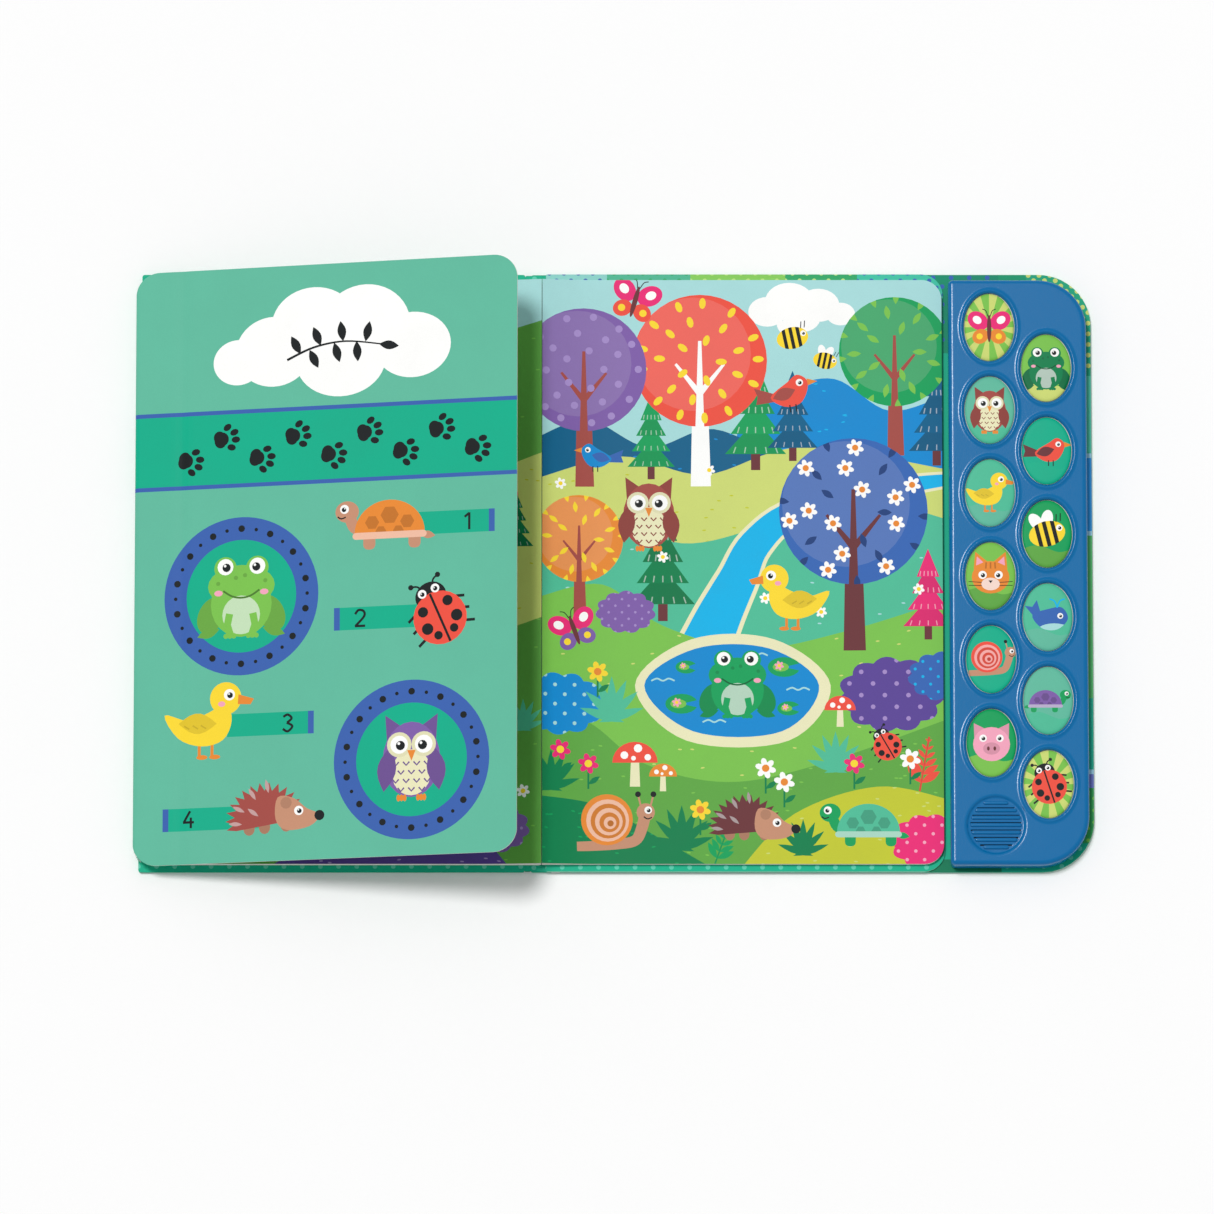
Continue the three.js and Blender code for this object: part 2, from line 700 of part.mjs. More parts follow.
function speakerCone() {
  const rim = SPEAKER_RADIUS - 1.8 - SEAT_GAP;
  const low = speakerBottom + 1.5;
  return turned([
    [0, low],
    [3, low],
    [rim - 2, speakerTop - 0.35 - CONE_THICK],
    [rim, speakerTop - 0.2 - CONE_THICK],
    [rim, speakerTop - 0.2],
    [rim - 2, speakerTop - 0.35],
    [3.2, low + CONE_THICK],
    [0, low + CONE_THICK + 0.6],
  ], grilleX, grilleY);
}

function speakerMagnet() {
  const top = speakerBottom;
  return turned([
    [0, top - MAGNET_DEPTH],
    [MAGNET_RADIUS - 0.3, top - MAGNET_DEPTH],
    [MAGNET_RADIUS, top - MAGNET_DEPTH + 0.3],
    [MAGNET_RADIUS, top],
    [0, top],
  ], grilleX, grilleY);
}

function buttonCell(i) {
  const y = batteryY + (i - (CELL_COUNT - 1) / 2) * CELL_PITCH;
  const r = CELL_RADIUS;
  return turned([
    [0, cellBottom],
    [r - 1.4, cellBottom],
    [r - 1.2, cellBottom + 0.25],
    [r - 0.3, cellBottom + 0.25],
    [r, cellBottom + 0.6],
    [r, cellTop - 0.3],
    [r - 0.3, cellTop],
    [0, cellTop],
  ], batteryX, y, 24);
}

function contactStrip(z0) {
  const halfLength = pocketHalfLength - SEAT_GAP - 2;
  return prism(rectangle(
    batteryX - CONTACT_WIDTH / 2, batteryY - halfLength,
    batteryX + CONTACT_WIDTH / 2, batteryY + halfLength, [1, 1, 1, 1], 3,
  ), z0, z0 + CONTACT_THICK);
}

function batteryDoor() {
  const halfWidth = DOOR_WIDTH / 2;
  const halfLength = DOOR_LENGTH / 2;
  const plate = prism(rectangle(
    batteryX - halfWidth, batteryY - halfLength, batteryX + halfWidth, batteryY + halfLength,
    [1, 1, 1, 1], 3,
  ), DOOR_RECESS, doorTop);
  const hole = disc(batteryX, doorScrewY, SCREW_RADIUS + SEAT_GAP, -1, doorTop + 1, 12);
  const sink = disc(batteryX, doorScrewY, SCREW_HEAD_RADIUS + SEAT_GAP, -1, DOOR_RECESS + SCREW_HEAD_THICK, 16);
  const notch = disc(batteryX, batteryY - halfLength + 6, FINGER_NOTCH, -1, DOOR_RECESS + 0.5, 20);
  return plate.subtract(hole).subtract(sink).subtract(notch);
}

const parts = new THREE.Group();

function finish(color, roughness, metalness = 0) {
  return new THREE.MeshStandardMaterial({ color, roughness, metalness });
}

const printedBoard = finish(0x4fbd98, 0.45);
const printedLeaf = finish(0x5fa744, 0.42);
const flapCard = finish(0x61ba9e, 0.45);
const bluePlastic = finish(0x0080be, 0.32);
const blackPlastic = finish(0x202327, 0.5);
const pictureCard = finish(0x06ae8a, 0.3);
const rubber = finish(0xb9bcc0, 0.8);
const greenBoard = finish(0x1f6b3a, 0.5);
const steel = finish(0xb8bcc2, 0.3, 0.9);
const paperCone = finish(0x2a2a2c, 0.85);

function add(name, body, material, x = 0, y = 0) {
  const mesh = new THREE.Mesh(geometryOf(body), material);
  mesh.name = name;
  mesh.position.set(x, y, 0);
  parts.add(mesh);
}

add('front_cover', frontCover(), printedBoard);
add('spine_board', spineBoard(), printedBoard);
add('back_cover', backCover(), printedBoard);
add('left_pages', leafBlock(-1, BOARD_THICK, LEFT_LEAVES), printedLeaf);
add('right_pages', leafBlock(1, endBoardTop, rightLeaves), printedLeaf);
add('end_board', endBoard(), printedBoard);
add('fold_out_flap', foldOutFlap(), flapCard);
add('module_housing', moduleHousing(), bluePlastic);
add('module_base', moduleBase(), blackPlastic);
windowCentres().forEach((c, k) => {
  add('picture_button_' + String(k + 1).padStart(2, '0'), pictureButton(), pictureCard, c.x, c.y);
});
add('contact_mat', contactMat(), rubber);
add('circuit_board', circuitBoard(), greenBoard);
add('sound_chip', soundChip(), blackPlastic);
add('speaker_frame', speakerFrame(), steel);
add('speaker_cone', speakerCone(), paperCone);
add('speaker_magnet', speakerMagnet(), steel);
for (let i = 0; i < CELL_COUNT; i++) {
  add('button_cell_' + (i + 1), buttonCell(i), steel);
}
add('battery_contact_upper', contactStrip(upperContact), steel);
add('battery_contact_lower', contactStrip(doorTop), steel);
add('battery_door', batteryDoor(), blackPlastic);
add('battery_door_screw', screw(batteryX, doorScrewY, DOOR_RECESS, pcbBottom - 0.6), steel);
bossCentres().forEach((c, k) => {
  add('housing_screw_' + (k + 1), screw(c.x, c.y, BOARD_THICK + 0.05, pcbTop), steel);
});

export default parts;
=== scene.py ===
import math
import random

import bpy
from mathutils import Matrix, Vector
from mathutils.geometry import delaunay_2d_cdt


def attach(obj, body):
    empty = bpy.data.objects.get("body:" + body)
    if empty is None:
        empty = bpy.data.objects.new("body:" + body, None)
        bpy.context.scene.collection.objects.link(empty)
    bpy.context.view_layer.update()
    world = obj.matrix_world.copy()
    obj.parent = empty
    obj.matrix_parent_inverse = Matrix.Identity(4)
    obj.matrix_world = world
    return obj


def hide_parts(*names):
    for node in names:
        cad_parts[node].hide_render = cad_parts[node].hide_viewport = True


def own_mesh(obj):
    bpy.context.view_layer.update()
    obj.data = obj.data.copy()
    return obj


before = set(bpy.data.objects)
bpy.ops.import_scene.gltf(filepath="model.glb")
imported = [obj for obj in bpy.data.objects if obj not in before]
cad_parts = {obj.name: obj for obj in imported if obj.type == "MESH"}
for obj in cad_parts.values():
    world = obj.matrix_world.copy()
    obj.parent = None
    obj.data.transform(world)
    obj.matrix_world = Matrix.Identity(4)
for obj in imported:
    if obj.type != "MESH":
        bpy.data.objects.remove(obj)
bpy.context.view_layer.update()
bpy.ops.object.select_all(action="DESELECT")

# Case boards: grey board wrapped in printed paper. On the real book one cover paper runs round
# all the boards. Here each board has its own sheets of it, with strips across the grooves, so
# that the case can fold.
mm = 0.001
BOARD_HALF_HEIGHT = 130.5
BOARD_THICK = 2.0
COVER_LEFT = -172.75
COVER_RIGHT = 236.75
BOARD_INNER_EDGE = 7.25
SPINE_HALF_WIDTH = 4.75
COVER_CORNER = 22.5
SMALL_CORNER = 1.0
PAPER_THICK = 0.08
BORDER_PITCH = 7.8
BORDER_DOT = 1.05


def screen(code):
    """The light value of a colour that is given as its screen code."""
    parts = [int(code[i : i + 2], 16) / 255 for i in (0, 2, 4)]
    return tuple(p / 12.92 if p <= 0.04045 else ((p + 0.055) / 1.055) ** 2.4 for p in parts)


def shade(colour, share):
    """An ink or colour made darker (share below 1) or lighter (share above 1)."""
    colour = ink.get(colour, colour)
    if share <= 1:
        return tuple(c * share for c in colour)
    return tuple(c + (1 - c) * (share - 1) for c in colour)


ink = {
    "panel": screen("61BA9E"),
    "band": screen("06AE8A"),
    "ring": screen("3A62AE"),
    "sky": screen("A8DBDB"),
    "purple": screen("7F5EA8"),
    "deep purple": screen("5B4496"),
    "lilac": screen("A58CC8"),
    "red": screen("EE5140"),
    "blue": screen("3566B3"),
    "bright blue": screen("0089D0"),
    "water": screen("00B3E8"),
    "dark blue": screen("006089"),
    "night": screen("1D3F7A"),
    "page green": screen("5FA744"),
    "grass": screen("7BC24E"),
    "green": screen("0AA05A"),
    "deep green": screen("007F4C"),
    "meadow": screen("CDD975"),
    "teal": screen("4FBD98"),
    "case": screen("0FB08A"),
    "case light": screen("5CC9AE"),
    "olive": screen("C3C931"),
    "cream": screen("EBE8BE"),
    "orange": screen("E98A32"),
    "yellow": screen("FAD932"),
    "magenta": screen("EA2A76"),
    "pink": screen("F4A6BE"),
    "brown": screen("A44C45"),
    "dark brown": screen("6B3438"),
    "tan": screen("C79073"),
    "white": screen("FDFDFB"),
    "black": screen("151A1C"),
}


def oval(x, y, half_width, half_height=None, turn=0, count=24):
    """Points of an oval; turn is in degrees."""
    half_height = half_width if half_height is None else half_height
    c, s = math.cos(math.radians(turn)), math.sin(math.radians(turn))
    points = []
    for i in range(count):
        a = math.tau * i / count
        u, v = half_width * math.cos(a), half_height * math.sin(a)
        points.append((x + u * c - v * s, y + u * s + v * c))
    return points


def rounded(left, low, right, high, corners, steps=8):
    """Points of a rectangle with rounded corners: low left, low right, high right, high left."""
    centres = [
        (left + corners[0], low + corners[0], corners[0], 180),
        (right - corners[1], low + corners[1], corners[1], 270),
        (right - corners[2], high - corners[2], corners[2], 0),
        (left + corners[3], high - corners[3], corners[3], 90),
    ]
    points = []
    for x, y, radius, start in centres:
        for i in range(steps + 1):
            a = math.radians(start + 90 * i / steps)
            points.append((x + radius * math.cos(a), y + radius * math.sin(a)))
    return points


def lobed(x, y, radius, lobes, depth, turn=0, share=1.0, per_lobe=8):
    """Points of a rounded outline with that many lobes, for flowers and bushes."""
    points = []
    count = lobes * per_lobe
    for i in range(count):
        a = math.tau * i / count + math.radians(turn)
        r = radius * (1 - depth + depth * abs(math.sin(lobes * (a - math.radians(turn)) / 2)))
        points.append((x + r * math.cos(a), y + r * share * math.sin(a)))
    return points


def lens(x, y, length, width, turn=0, steps=7):
    """Points of a leaf with two pointed ends, from its stalk end at x, y."""
    c, s = math.cos(math.radians(turn)), math.sin(math.radians(turn))
    side = [(length * i / steps, width / 2 * math.sin(math.pi * i / steps)) for i in range(steps + 1)]
    around = side + [(u, -v) for u, v in reversed(side[1:-1])]
    return [(x + u * c - v * s, y + u * s + v * c) for u, v in reversed(around)]


def flowing(points, steps=6, closed=False):
    """The points with a smooth curve run through them."""
    count = len(points)
    run = []
    for i in range(count if closed else count - 1):
        if closed:
            p = [points[(i + k - 1) % count] for k in range(4)]
        else:
            p = [points[min(max(i + k - 1, 0), count - 1)] for k in range(4)]
        for j in range(steps):
            t = j / steps
            run.append(
                tuple(
                    0.5
                    * (
                        2 * p[1][k]
                        + (p[2][k] - p[0][k]) * t
                        + (2 * p[0][k] - 5 * p[1][k] + 4 * p[2][k] - p[3][k]) * t * t
                        + (3 * p[1][k] - p[0][k] - 3 * p[2][k] + p[3][k]) * t * t * t
                    )
                    for k in (0, 1)
                )
            )
    return run if closed else run + [tuple(points[-1])]


def stroke(points, width, end_width=None):
    """Points round a drawn line of that width, which may narrow to its end."""
    end_width = width if end_width is None else end_width
    one, other = [], []
    count = len(points)
    for i, (x, y) in enumerate(points):
        x0, y0 = points[max(i - 1, 0)]
        x1, y1 = points[min(i + 1, count - 1)]
        long = math.hypot(x1 - x0, y1 - y0) or 1
        half = (width + (end_width - width) * i / (count - 1)) / 2
        nx, ny = -(y1 - y0) / long * half, (x1 - x0) / long * half
        one.append((x + nx, y + ny))
        other.append((x - nx, y - ny))
    return other + one[::-1]


def paint(art, points, colour, within=None):
    """Lays one area of ink, by its name or colour, over what is printed so far. within keeps it
    inside an earlier area."""
    area = sum(a[0] * b[1] - b[0] * a[1] for a, b in zip(points, points[1:] + points[:1]))
    art.append((points if area > 0 else points[::-1], ink.get(colour, colour), within))
    return len(art)


def printed_mesh(name, outline, art, bends=(), rings=(), surface=None):
    """The mesh of one printed face: every area of ink is a patch of faces in its own colour.
    bends are lines across at these x, rings are loops, and surface gives each point's height."""
    corners, faces, edges = [], [], []
    for points in [outline] + [a[0] for a in art]:
        start = len(corners)
        corners += [Vector(p) for p in points]
        faces.append(list(range(start, start + len(points))))
    low = min(p[1] for p in outline) - 1
    high = max(p[1] for p in outline) + 1
    for x in bends:
        edges.append((len(corners), len(corners) + 1))
        corners += [Vector((x, low)), Vector((x, high))]
    for ring in rings:
        start = len(corners)
        corners += [Vector(p) for p in ring]
        edges += [(start + i, start + (i + 1) % len(ring)) for i in range(len(ring))]
    places, _, cells, _, _, sources = delaunay_2d_cdt(corners, edges, faces, 1, 1e-5, True)
    kept, colours = [], []
    for cell, inside in zip(cells, sources):
        if 0 not in inside:
            continue
        colour = art_colour(inside, art)
        if colour is not None:
            kept.append(cell)
            colours.append(colour)
    used = sorted({i for cell in kept for i in cell})
    number = {old: new for new, old in enumerate(used)}
    lift = surface or (lambda x, y: (x, y, 0))
    mesh = bpy.data.meshes.new(name)
    mesh.from_pydata(
        [[c * mm for c in lift(*places[i])] for i in used],
        [],
        [[number[i] for i in cell] for cell in kept],
    )
    layer = mesh.color_attributes.new("ink", "FLOAT_COLOR", "CORNER")
    for polygon, colour in zip(mesh.polygons, colours):
        for loop in polygon.loop_indices:
            layer.data[loop].color = (*colour, 1)
    return mesh


def art_colour(inside, art):
    """The ink that shows in a patch, or None where the sheet is cut out."""
    for number in sorted(inside, reverse=True):
        if number == 0:
            break
        _, colour, within = art[number - 1]
        if within is None or within in inside:
            return colour
    return ink["white"]


def at_height(z):
    """The place of a flat print at that height."""
    return lambda x, y: (x, y, z)


def own(name, mesh):
    """An object for the mesh, selected alone."""
    thing = bpy.data.objects.new(name, mesh)
    bpy.context.scene.collection.objects.link(thing)
    bpy.ops.object.select_all(action="DESELECT")
    thing.select_set(True)
    bpy.context.view_layer.objects.active = thing
    return thing


def thicken(thing, thickness, *materials, back=1, edge=1):
    """Gives a printed face its materials and, below it, its thickness. back and edge are slots."""
    for material in materials:
        thing.data.materials.append(material)
    solid = thing.modifiers.new("paper", "SOLIDIFY")
    solid.thickness = thickness * mm
    solid.offset = -1
    solid.use_even_offset = True
    solid.material_offset = back
    solid.material_offset_rim = edge
    bpy.ops.object.modifier_apply(modifier=solid.name)


def finish(
    name,
    colour=None,
    roughness=0.5,
    mottle=0.05,
    patch=45.0,
    grain=0.04,
    grain_size=0.4,
    metallic=0.0,
    coat=0.0,
    stretch=(1, 1, 1),
    second=None,
    roughness_play=0.08,
    specular=0.5,
    attribute=None,
):
    """A surface with blotches of colour patch mm wide, a fine relief grain_size mm wide and grain mm
    deep, and uneven gloss. attribute names the ink layer where the surface is printed."""
    material = bpy.data.materials.new(name)
    material.use_nodes = True
    tree = material.node_tree

    def node(kind, **values):
        """A shader node with these numbers in its inputs."""
        made = tree.nodes.new("ShaderNode" + kind)
        for socket, value in values.items():
            made.inputs[socket.replace("_", " ")].default_value = value
        return made

    def link(source, output, target, entry):
        tree.links.new(source.outputs[output], target.inputs[entry])

    shader = tree.nodes["Principled BSDF"]
    shader.inputs["Metallic"].default_value = metallic
    shader.inputs["Coat Weight"].default_value = coat
    shader.inputs["Coat Roughness"].default_value = 0.2
    shader.inputs["Specular IOR Level"].default_value = specular
    spread = node("Mapping", Scale=stretch)
    link(node("TexCoord"), "Object", spread, "Vector")
    blotch = node("TexNoise", Scale=1000 / patch, Detail=6, Roughness=0.65)
    fine = node("TexNoise", Scale=1000 / grain_size, Detail=3)
    for noise in (blotch, fine):
        link(spread, "Vector", noise, "Vector")
    level = node("MapRange", From_Min=0.3, From_Max=0.7, To_Min=1 - mottle, To_Max=1 + mottle)
    link(blotch, "Fac", level, "Value")
    speckle = mottle * 0.6
    speck = node("MapRange", From_Min=0.35, From_Max=0.65, To_Min=1 - speckle, To_Max=1 + speckle)
    link(fine, "Fac", speck, "Value")
    both = node("Math")
    both.operation = "MULTIPLY"
    link(level, "Result", both, 0)
    link(speck, "Result", both, 1)
    tone = node("VectorMath")
    tone.operation = "SCALE"
    link(both, "Value", tone, "Scale")
    if attribute:
        layer = node("VertexColor")
        layer.layer_name = attribute
        link(layer, "Color", tone, 0)
    else:
        blend = node("Mix")
        blend.data_type = "RGBA"
        blend.inputs[6].default_value = (*colour, 1)
        blend.inputs[7].default_value = (*(second or shade(colour, 0.86)), 1)
        link(blotch, "Fac", blend, 0)
        link(blend, 2, tone, 0)
    link(tone, "Vector", shader, "Base Color")
    lowest, highest = max(roughness - roughness_play, 0.03), min(roughness + roughness_play, 1)
    gloss = node("MapRange", To_Min=lowest, To_Max=highest)
    link(blotch, "Fac", gloss, "Value")
    link(gloss, "Result", shader, "Roughness")
    relief = node("Bump", Strength=1, Distance=grain * mm)
    link(fine, "Fac", relief, "Height")
    link(relief, "Normal", shader, "Normal")
    return material


def dress(nodes, material):
    """The CAD nodes take the material on every slot."""
    for name in nodes:
        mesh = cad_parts[name].data
        mesh.materials.clear()
        mesh.materials.append(material)


case_paper = finish("case_paper", ink["case"], roughness=0.5, mottle=0.05, patch=60, specular=0.25)
case_print = finish(
    "case_print", roughness=0.5, mottle=0.035, patch=50, grain=0.02, specular=0.14, attribute="ink"
)
bare_paper = finish("bare_paper", screen("F1EEE6"), roughness=0.75, mottle=0.05, patch=8)
dress(["front_cover", "spine_board", "back_cover"], case_paper)


def spotted(art, left, low, right, high, pitch, radius, colour, within=None, count=10):
    """Dots in rows, each row moved half a pitch along."""
    row = 0
    y = low + pitch / 4
    while y < high:
        x = left + (pitch / 2 if row % 2 else 0)
        while x < right:
            paint(art, oval(x, y, radius, count=count), colour, within)
            x += pitch
        y += pitch / 2
        row += 1


def patch(art, left, low, right, high, colour, within=None):
    """One straight-sided area of ink."""
    return paint(art, [(left, low), (right, low), (right, high), (left, high)], colour, within)


lining = []
whole = (BOARD_INNER_EDGE, -BOARD_HALF_HEIGHT, COVER_RIGHT, BOARD_HALF_HEIGHT)
patch(lining, *whole, "case")
spotted(lining, 176, -130, 238, -112, BORDER_PITCH, BORDER_DOT, "case light")
# A darker copy of the case green, with blue dots, in the gap beside the module's top end: painted
# shade.
patch(lining, 165, 96, 197, 131, screen("0E8F6B"))
spotted(lining, 165, 100, 196, 131, BORDER_PITCH, BORDER_DOT, "blue")
patch(lining, 197, 96, 209, 131, screen("119A6C"))
corner_tone = patch(lining, 209, 86, 240, 131, screen("1AA57C"))
spotted(lining, 210, 87, 238, 131, BORDER_PITCH * 0.6, BORDER_DOT, "meadow", corner_tone)
for low, high, tone in (
    (52, 86, screen("4FC4A4")),
    (50, 52, screen("9FD3E4")),
    (18, 50, screen("2A94D6")),
    (16, 18, screen("9FD3E4")),
    (-55, 16, screen("54B86A")),
    (-86, -55, screen("17A98A")),
    (-88, -86, screen("9FD3E4")),
    (-94, -88, screen("6F7CC4")),
):
    patch(lining, 228, low, 240, high, tone)
foot = patch(lining, 228, -118, 240, -94, screen("2F9E52"))
spotted(lining, 229, -118, 240, -94, 5.2, 0.8, "grass", foot)
# The darkest case green, at the lower end of the gap beside the module and below the module's lower
# edge: painted shade.
patch(lining, 165, -131, 197, -125, screen("067A55"))
module_bed = rounded(176, -127.5, 233.5, 125.5, (1.5, 19.5, 19.5, 1.5))
paint(lining, module_bed, None)
page_bed = rounded(1.6, -129.5, 172.2, 129.5, (1, 9, 9, 1))
paint(lining, page_bed, None)
back_outline = rounded(*whole, (SMALL_CORNER, COVER_CORNER, COVER_CORNER, SMALL_CORNER), 14)
lining_place = at_height(BOARD_THICK + PAPER_THICK)
back_lining = own(
    "back_lining", printed_mesh("back_lining", back_outline, lining, surface=lining_place)
)
thicken(back_lining, PAPER_THICK, case_print, bare_paper, edge=0)
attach(back_lining, "case_back")

lining = []
left_whole = (COVER_LEFT, -BOARD_HALF_HEIGHT, -BOARD_INNER_EDGE, BOARD_HALF_HEIGHT)
patch(lining, *left_whole, "case")
spotted(lining, COVER_LEFT, -130, 0, -125, BORDER_PITCH, BORDER_DOT, "case light")
spotted(lining, COVER_LEFT, 125, 0, 130, BORDER_PITCH, BORDER_DOT, "case light")
paint(lining, rounded(-171.5, -126.8, 1, 126.8, (8, 1, 1, 8)), None)
front_outline = rounded(*left_whole, (SMALL_CORNER,) * 4, 4)
front_lining = own(
    "front_lining", printed_mesh("front_lining", front_outline, lining, surface=lining_place)
)
thicken(front_lining, PAPER_THICK, case_print, bare_paper, edge=0)
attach(front_lining, "case_front")

# Joint papers: strips of the cover paper that bridge the grooves between the boards, and an
# inner strip under each leaf block, which covers the groove when the book is shut.
JOINT_LOW = 1.8
JOINT_GAP = 0.1
STRIP_THICK = 0.12


def paper_strip(name, left, right, top):
    """A strip of cover paper as tall as the boards, with its top face at that height."""
    outline = rounded(left, -BOARD_HALF_HEIGHT + 0.4, right, BOARD_HALF_HEIGHT - 0.4, (0.3,) * 4, 3)
    art = []
    patch(art, left - 1, -BOARD_HALF_HEIGHT, right + 1, BOARD_HALF_HEIGHT, "case")
    spotted(art, left - 4, -BOARD_HALF_HEIGHT, right, BOARD_HALF_HEIGHT, BORDER_PITCH, BORDER_DOT,
        "case light")
    bends = [left + (right - left) * k / 6 for k in range(1, 6)]
    strip = own(name, printed_mesh(name, outline, art, bends, surface=at_height(top)))
    thicken(strip, STRIP_THICK, case_print, bare_paper, back=0, edge=0)
    return strip


for name, side, body in (("back_joint", 1, "case_back"), ("front_joint", -1, "case_front")):
    ends = sorted((side * JOINT_GAP, side * (BOARD_INNER_EDGE - JOINT_GAP)))
    inner = paper_strip(name, *ends, JOINT_LOW + STRIP_THICK)
    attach(inner, body)
    ends = sorted((side * SPINE_HALF_WIDTH, side * BOARD_INNER_EDGE))
    groove = paper_strip(name + "_groove", *ends, STRIP_THICK + 0.05)
    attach(groove, body)

# End board: a thin board under the right leaves, as tall as the case. Its margin shows round the leaves
# and carries the border of the print, with a darker strip of painted shade along its side by the
# module.
END_TOP = 3.0
end_outline = rounded(1.65, -BOARD_HALF_HEIGHT, 173.0, BOARD_HALF_HEIGHT, (0.4, 9.5, 9.5, 0.4), 10)
end_art = []
patch(end_art, 0, -132, 175, 132, "case")
spotted(end_art, 1, -130.5, 175, -124, BORDER_PITCH, BORDER_DOT, "case light")
for left, right, tone, dots_tone in (
    (0, 28, "8CCFC8", "3A62AE"), (28, 64, "4FB592", "2FA667"), (64, 105, "86C95C", "B9DF7F"),
    (105, 136, "2FA667", "BFE08A"), (136, 175, "3FC0A4", "3566B3"),
):
    block = patch(end_art, left, 120, right, 132, screen(tone))
    spotted(end_art, left, 120, right, 132, BORDER_PITCH * 0.8, BORDER_DOT * 0.9, screen(dots_tone),
        block)
# A darker strip down the side next to the module: painted shade.
patch(end_art, 168, -124, 175, 120, screen("0E8F6B"))
paint(end_art, rounded(4, -126.9, 171.6, 126.9, (1, 8.4, 8.4, 1), 10), None)
end_place = at_height(END_TOP + PAPER_THICK)
end_margin = own("end_margin", printed_mesh("end_margin", end_outline, end_art, surface=end_place))
thicken(end_margin, PAPER_THICK, case_print, bare_paper, edge=0)
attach(end_margin, "case_back")
dress(["end_board"], bare_paper)

# Leaf blocks: stiff leaves glued to one another, white at their cut edges. The top leaves are
# printed, and they rise to the gutter, where the print of the right leaf runs on into the left.
PAGE_TOP = 5.5
PAGE_EDGE = 172.35
PAGE_HALF_HEIGHT = 127.5
PAGE_CORNER = 8.6
GUTTER_GAP = 0.15
GUTTER_RISE = 2.6
GUTTER_REACH = 26.0
LEAF_SHEET = 0.14
gutter_bends = (0.5, 1.5, 3, 5, 7, 9.5, 12, 15, 18, 22, 26)


def leaf_height(x, y):
    """The printed leaf's own height: flat, with a curved rise towards the gutter."""
    near = max(0.0, 1 - abs(x) / GUTTER_REACH)
    return (x, y, PAGE_TOP + LEAF_SHEET + GUTTER_RISE * near * near)


def pen(art, x, y, scale=1.0, turn=0, flip=False):
    """Paints a motif that is drawn round zero at its place in the print."""
    c, s = math.cos(math.radians(turn)), math.sin(math.radians(turn))
    side = -1 if flip else 1

    def put(points, colour, within=None):
        moved = [
            (x + (side * u * c - v * s) * scale, y + (side * u * s + v * c) * scale) for u, v in points
        ]
        return paint(art, moved, colour, within)

    return put


def eye(put, x, y, size=1.0, look=0.25):
    """A round eye with a pupil and a point of light."""
    put(oval(x, y, 2.2 * size, count=16), "white")
    put(oval(x + look * size, y - 0.2 * size, 1.15 * size, count=12), "black")
    put(oval(x + (look - 0.4) * size, y + 0.3 * size, 0.38 * size, count=6), "white")


def owl(put, body, belly):
    for side in (-1, 1):
        put([(side * 7.5, 12.5), (side * 2.5, 9), (side * 7, 5)], shade(body, 0.75))
    put(oval(0, 0, 8.2, 10.5), body)
    vest = put(oval(0, -3.6, 5.6, 6.4), belly)
    for row in range(4):
        for step in range(4):
            x = -4.5 + step * 3 + (1.5 if row % 2 else 0)
            chevron = [(x - 0.9, -0.6 - row * 2.4), (x, -1.6 - row * 2.4), (x + 0.9, -0.6 - row * 2.4)]
            put(stroke(chevron, 0.45), shade(body, 0.7), vest)
    for side in (-1, 1):
        put(lens(side * 6.2, 3.6, 12.5, 5.4, -90 + side * 8), shade(body, 0.72))
        put(oval(side * 3.5, 4.2, 3.5, count=20), shade(belly, 0.9))
        eye(put, side * 3.5, 4.2, 1.15, -side * 0.3)
        for toe in (-1, 0, 1):
            put(oval(side * 2.8 + toe * 0.9, -10.6, 0.55, 1.0, count=8), "orange")
    put([(-1.2, 2.6), (1.2, 2.6), (0, -0.4)], "orange")


def frog(put, skin):
    dark = shade(skin, 0.72)
    for side in (-1, 1):
        put(oval(side * 8.2, -4.2, 3.6, 5.2, side * 28), dark)
        put(lens(side * 6, -8, 6.4, 2.6, 90 - side * 108), dark)
        put(oval(side * 4.4, 8.2, 3.1), skin)
    put(oval(0, -1.5, 8.4, 8.8), skin)
    put(oval(0, 3.4, 9.2, 5.6), skin)
    put(oval(0, -4.4, 5.2, 5.2), shade(skin, 1.45))
    for side in (-1, 1):
        eye(put, side * 4.4, 8.6, 1.0, -side * 0.3)
        put(oval(side * 6.3, 1.6, 1.2, 0.8, count=10), "pink")
        put(stroke([(side * 3.2, -4), (side * 3.8, -7), (side * 3, -9.6)], 2.0), skin)
        for toe in (-1, 0, 1):
            put(oval(side * 3.1 + toe * 1.1, -10, 0.7, count=8), skin)
    smile = [(-5, 2.2), (-2.6, 0.7), (0, 0.2), (2.6, 0.7), (5, 2.2)]
    put(stroke(flowing(smile), 0.5), shade(skin, 0.35))
    for x, y in ((-1.5, 5.6), (1, 6.2), (-6.4, 4.2), (6.6, 4.6)):
        put(oval(x, y, 0.6, count=8), dark)


def snail(put, shell, body):
    foot = [(-11, -7.4), (-6, -7.2), (2, -6.6), (7.5, -5.4), (9.6, -1.4), (10.6, 3)]
    put(stroke(flowing(foot), 3.0, 3.8), body)
    put(oval(10.8, 3.6, 2.9), body)
    for x in (9.4, 12.2):
        put(stroke([(x, 5), (x + (x - 10.8) * 0.7, 9)], 0.6), body)
        put(oval(x + (x - 10.8) * 0.75, 9.4, 0.95, count=10), "black")
    put(oval(-1.5, 1.2, 8.2, count=32), shell)
    for radius, share in ((6.8, 1.35), (5.6, 0.78), (4.4, 1.35), (3.2, 0.78), (2.0, 1.35), (1.0, 0.6)):
        shift = (8.2 - radius) * 0.16
        put(oval(-1.5 + shift, 1.2 - shift, radius, count=24), shade(shell, share))
    eye(put, 11.6, 4.3, 0.55)
    put(stroke(flowing([(10.2, 2.2), (11.4, 1.5), (12.8, 2)]), 0.4), "black")


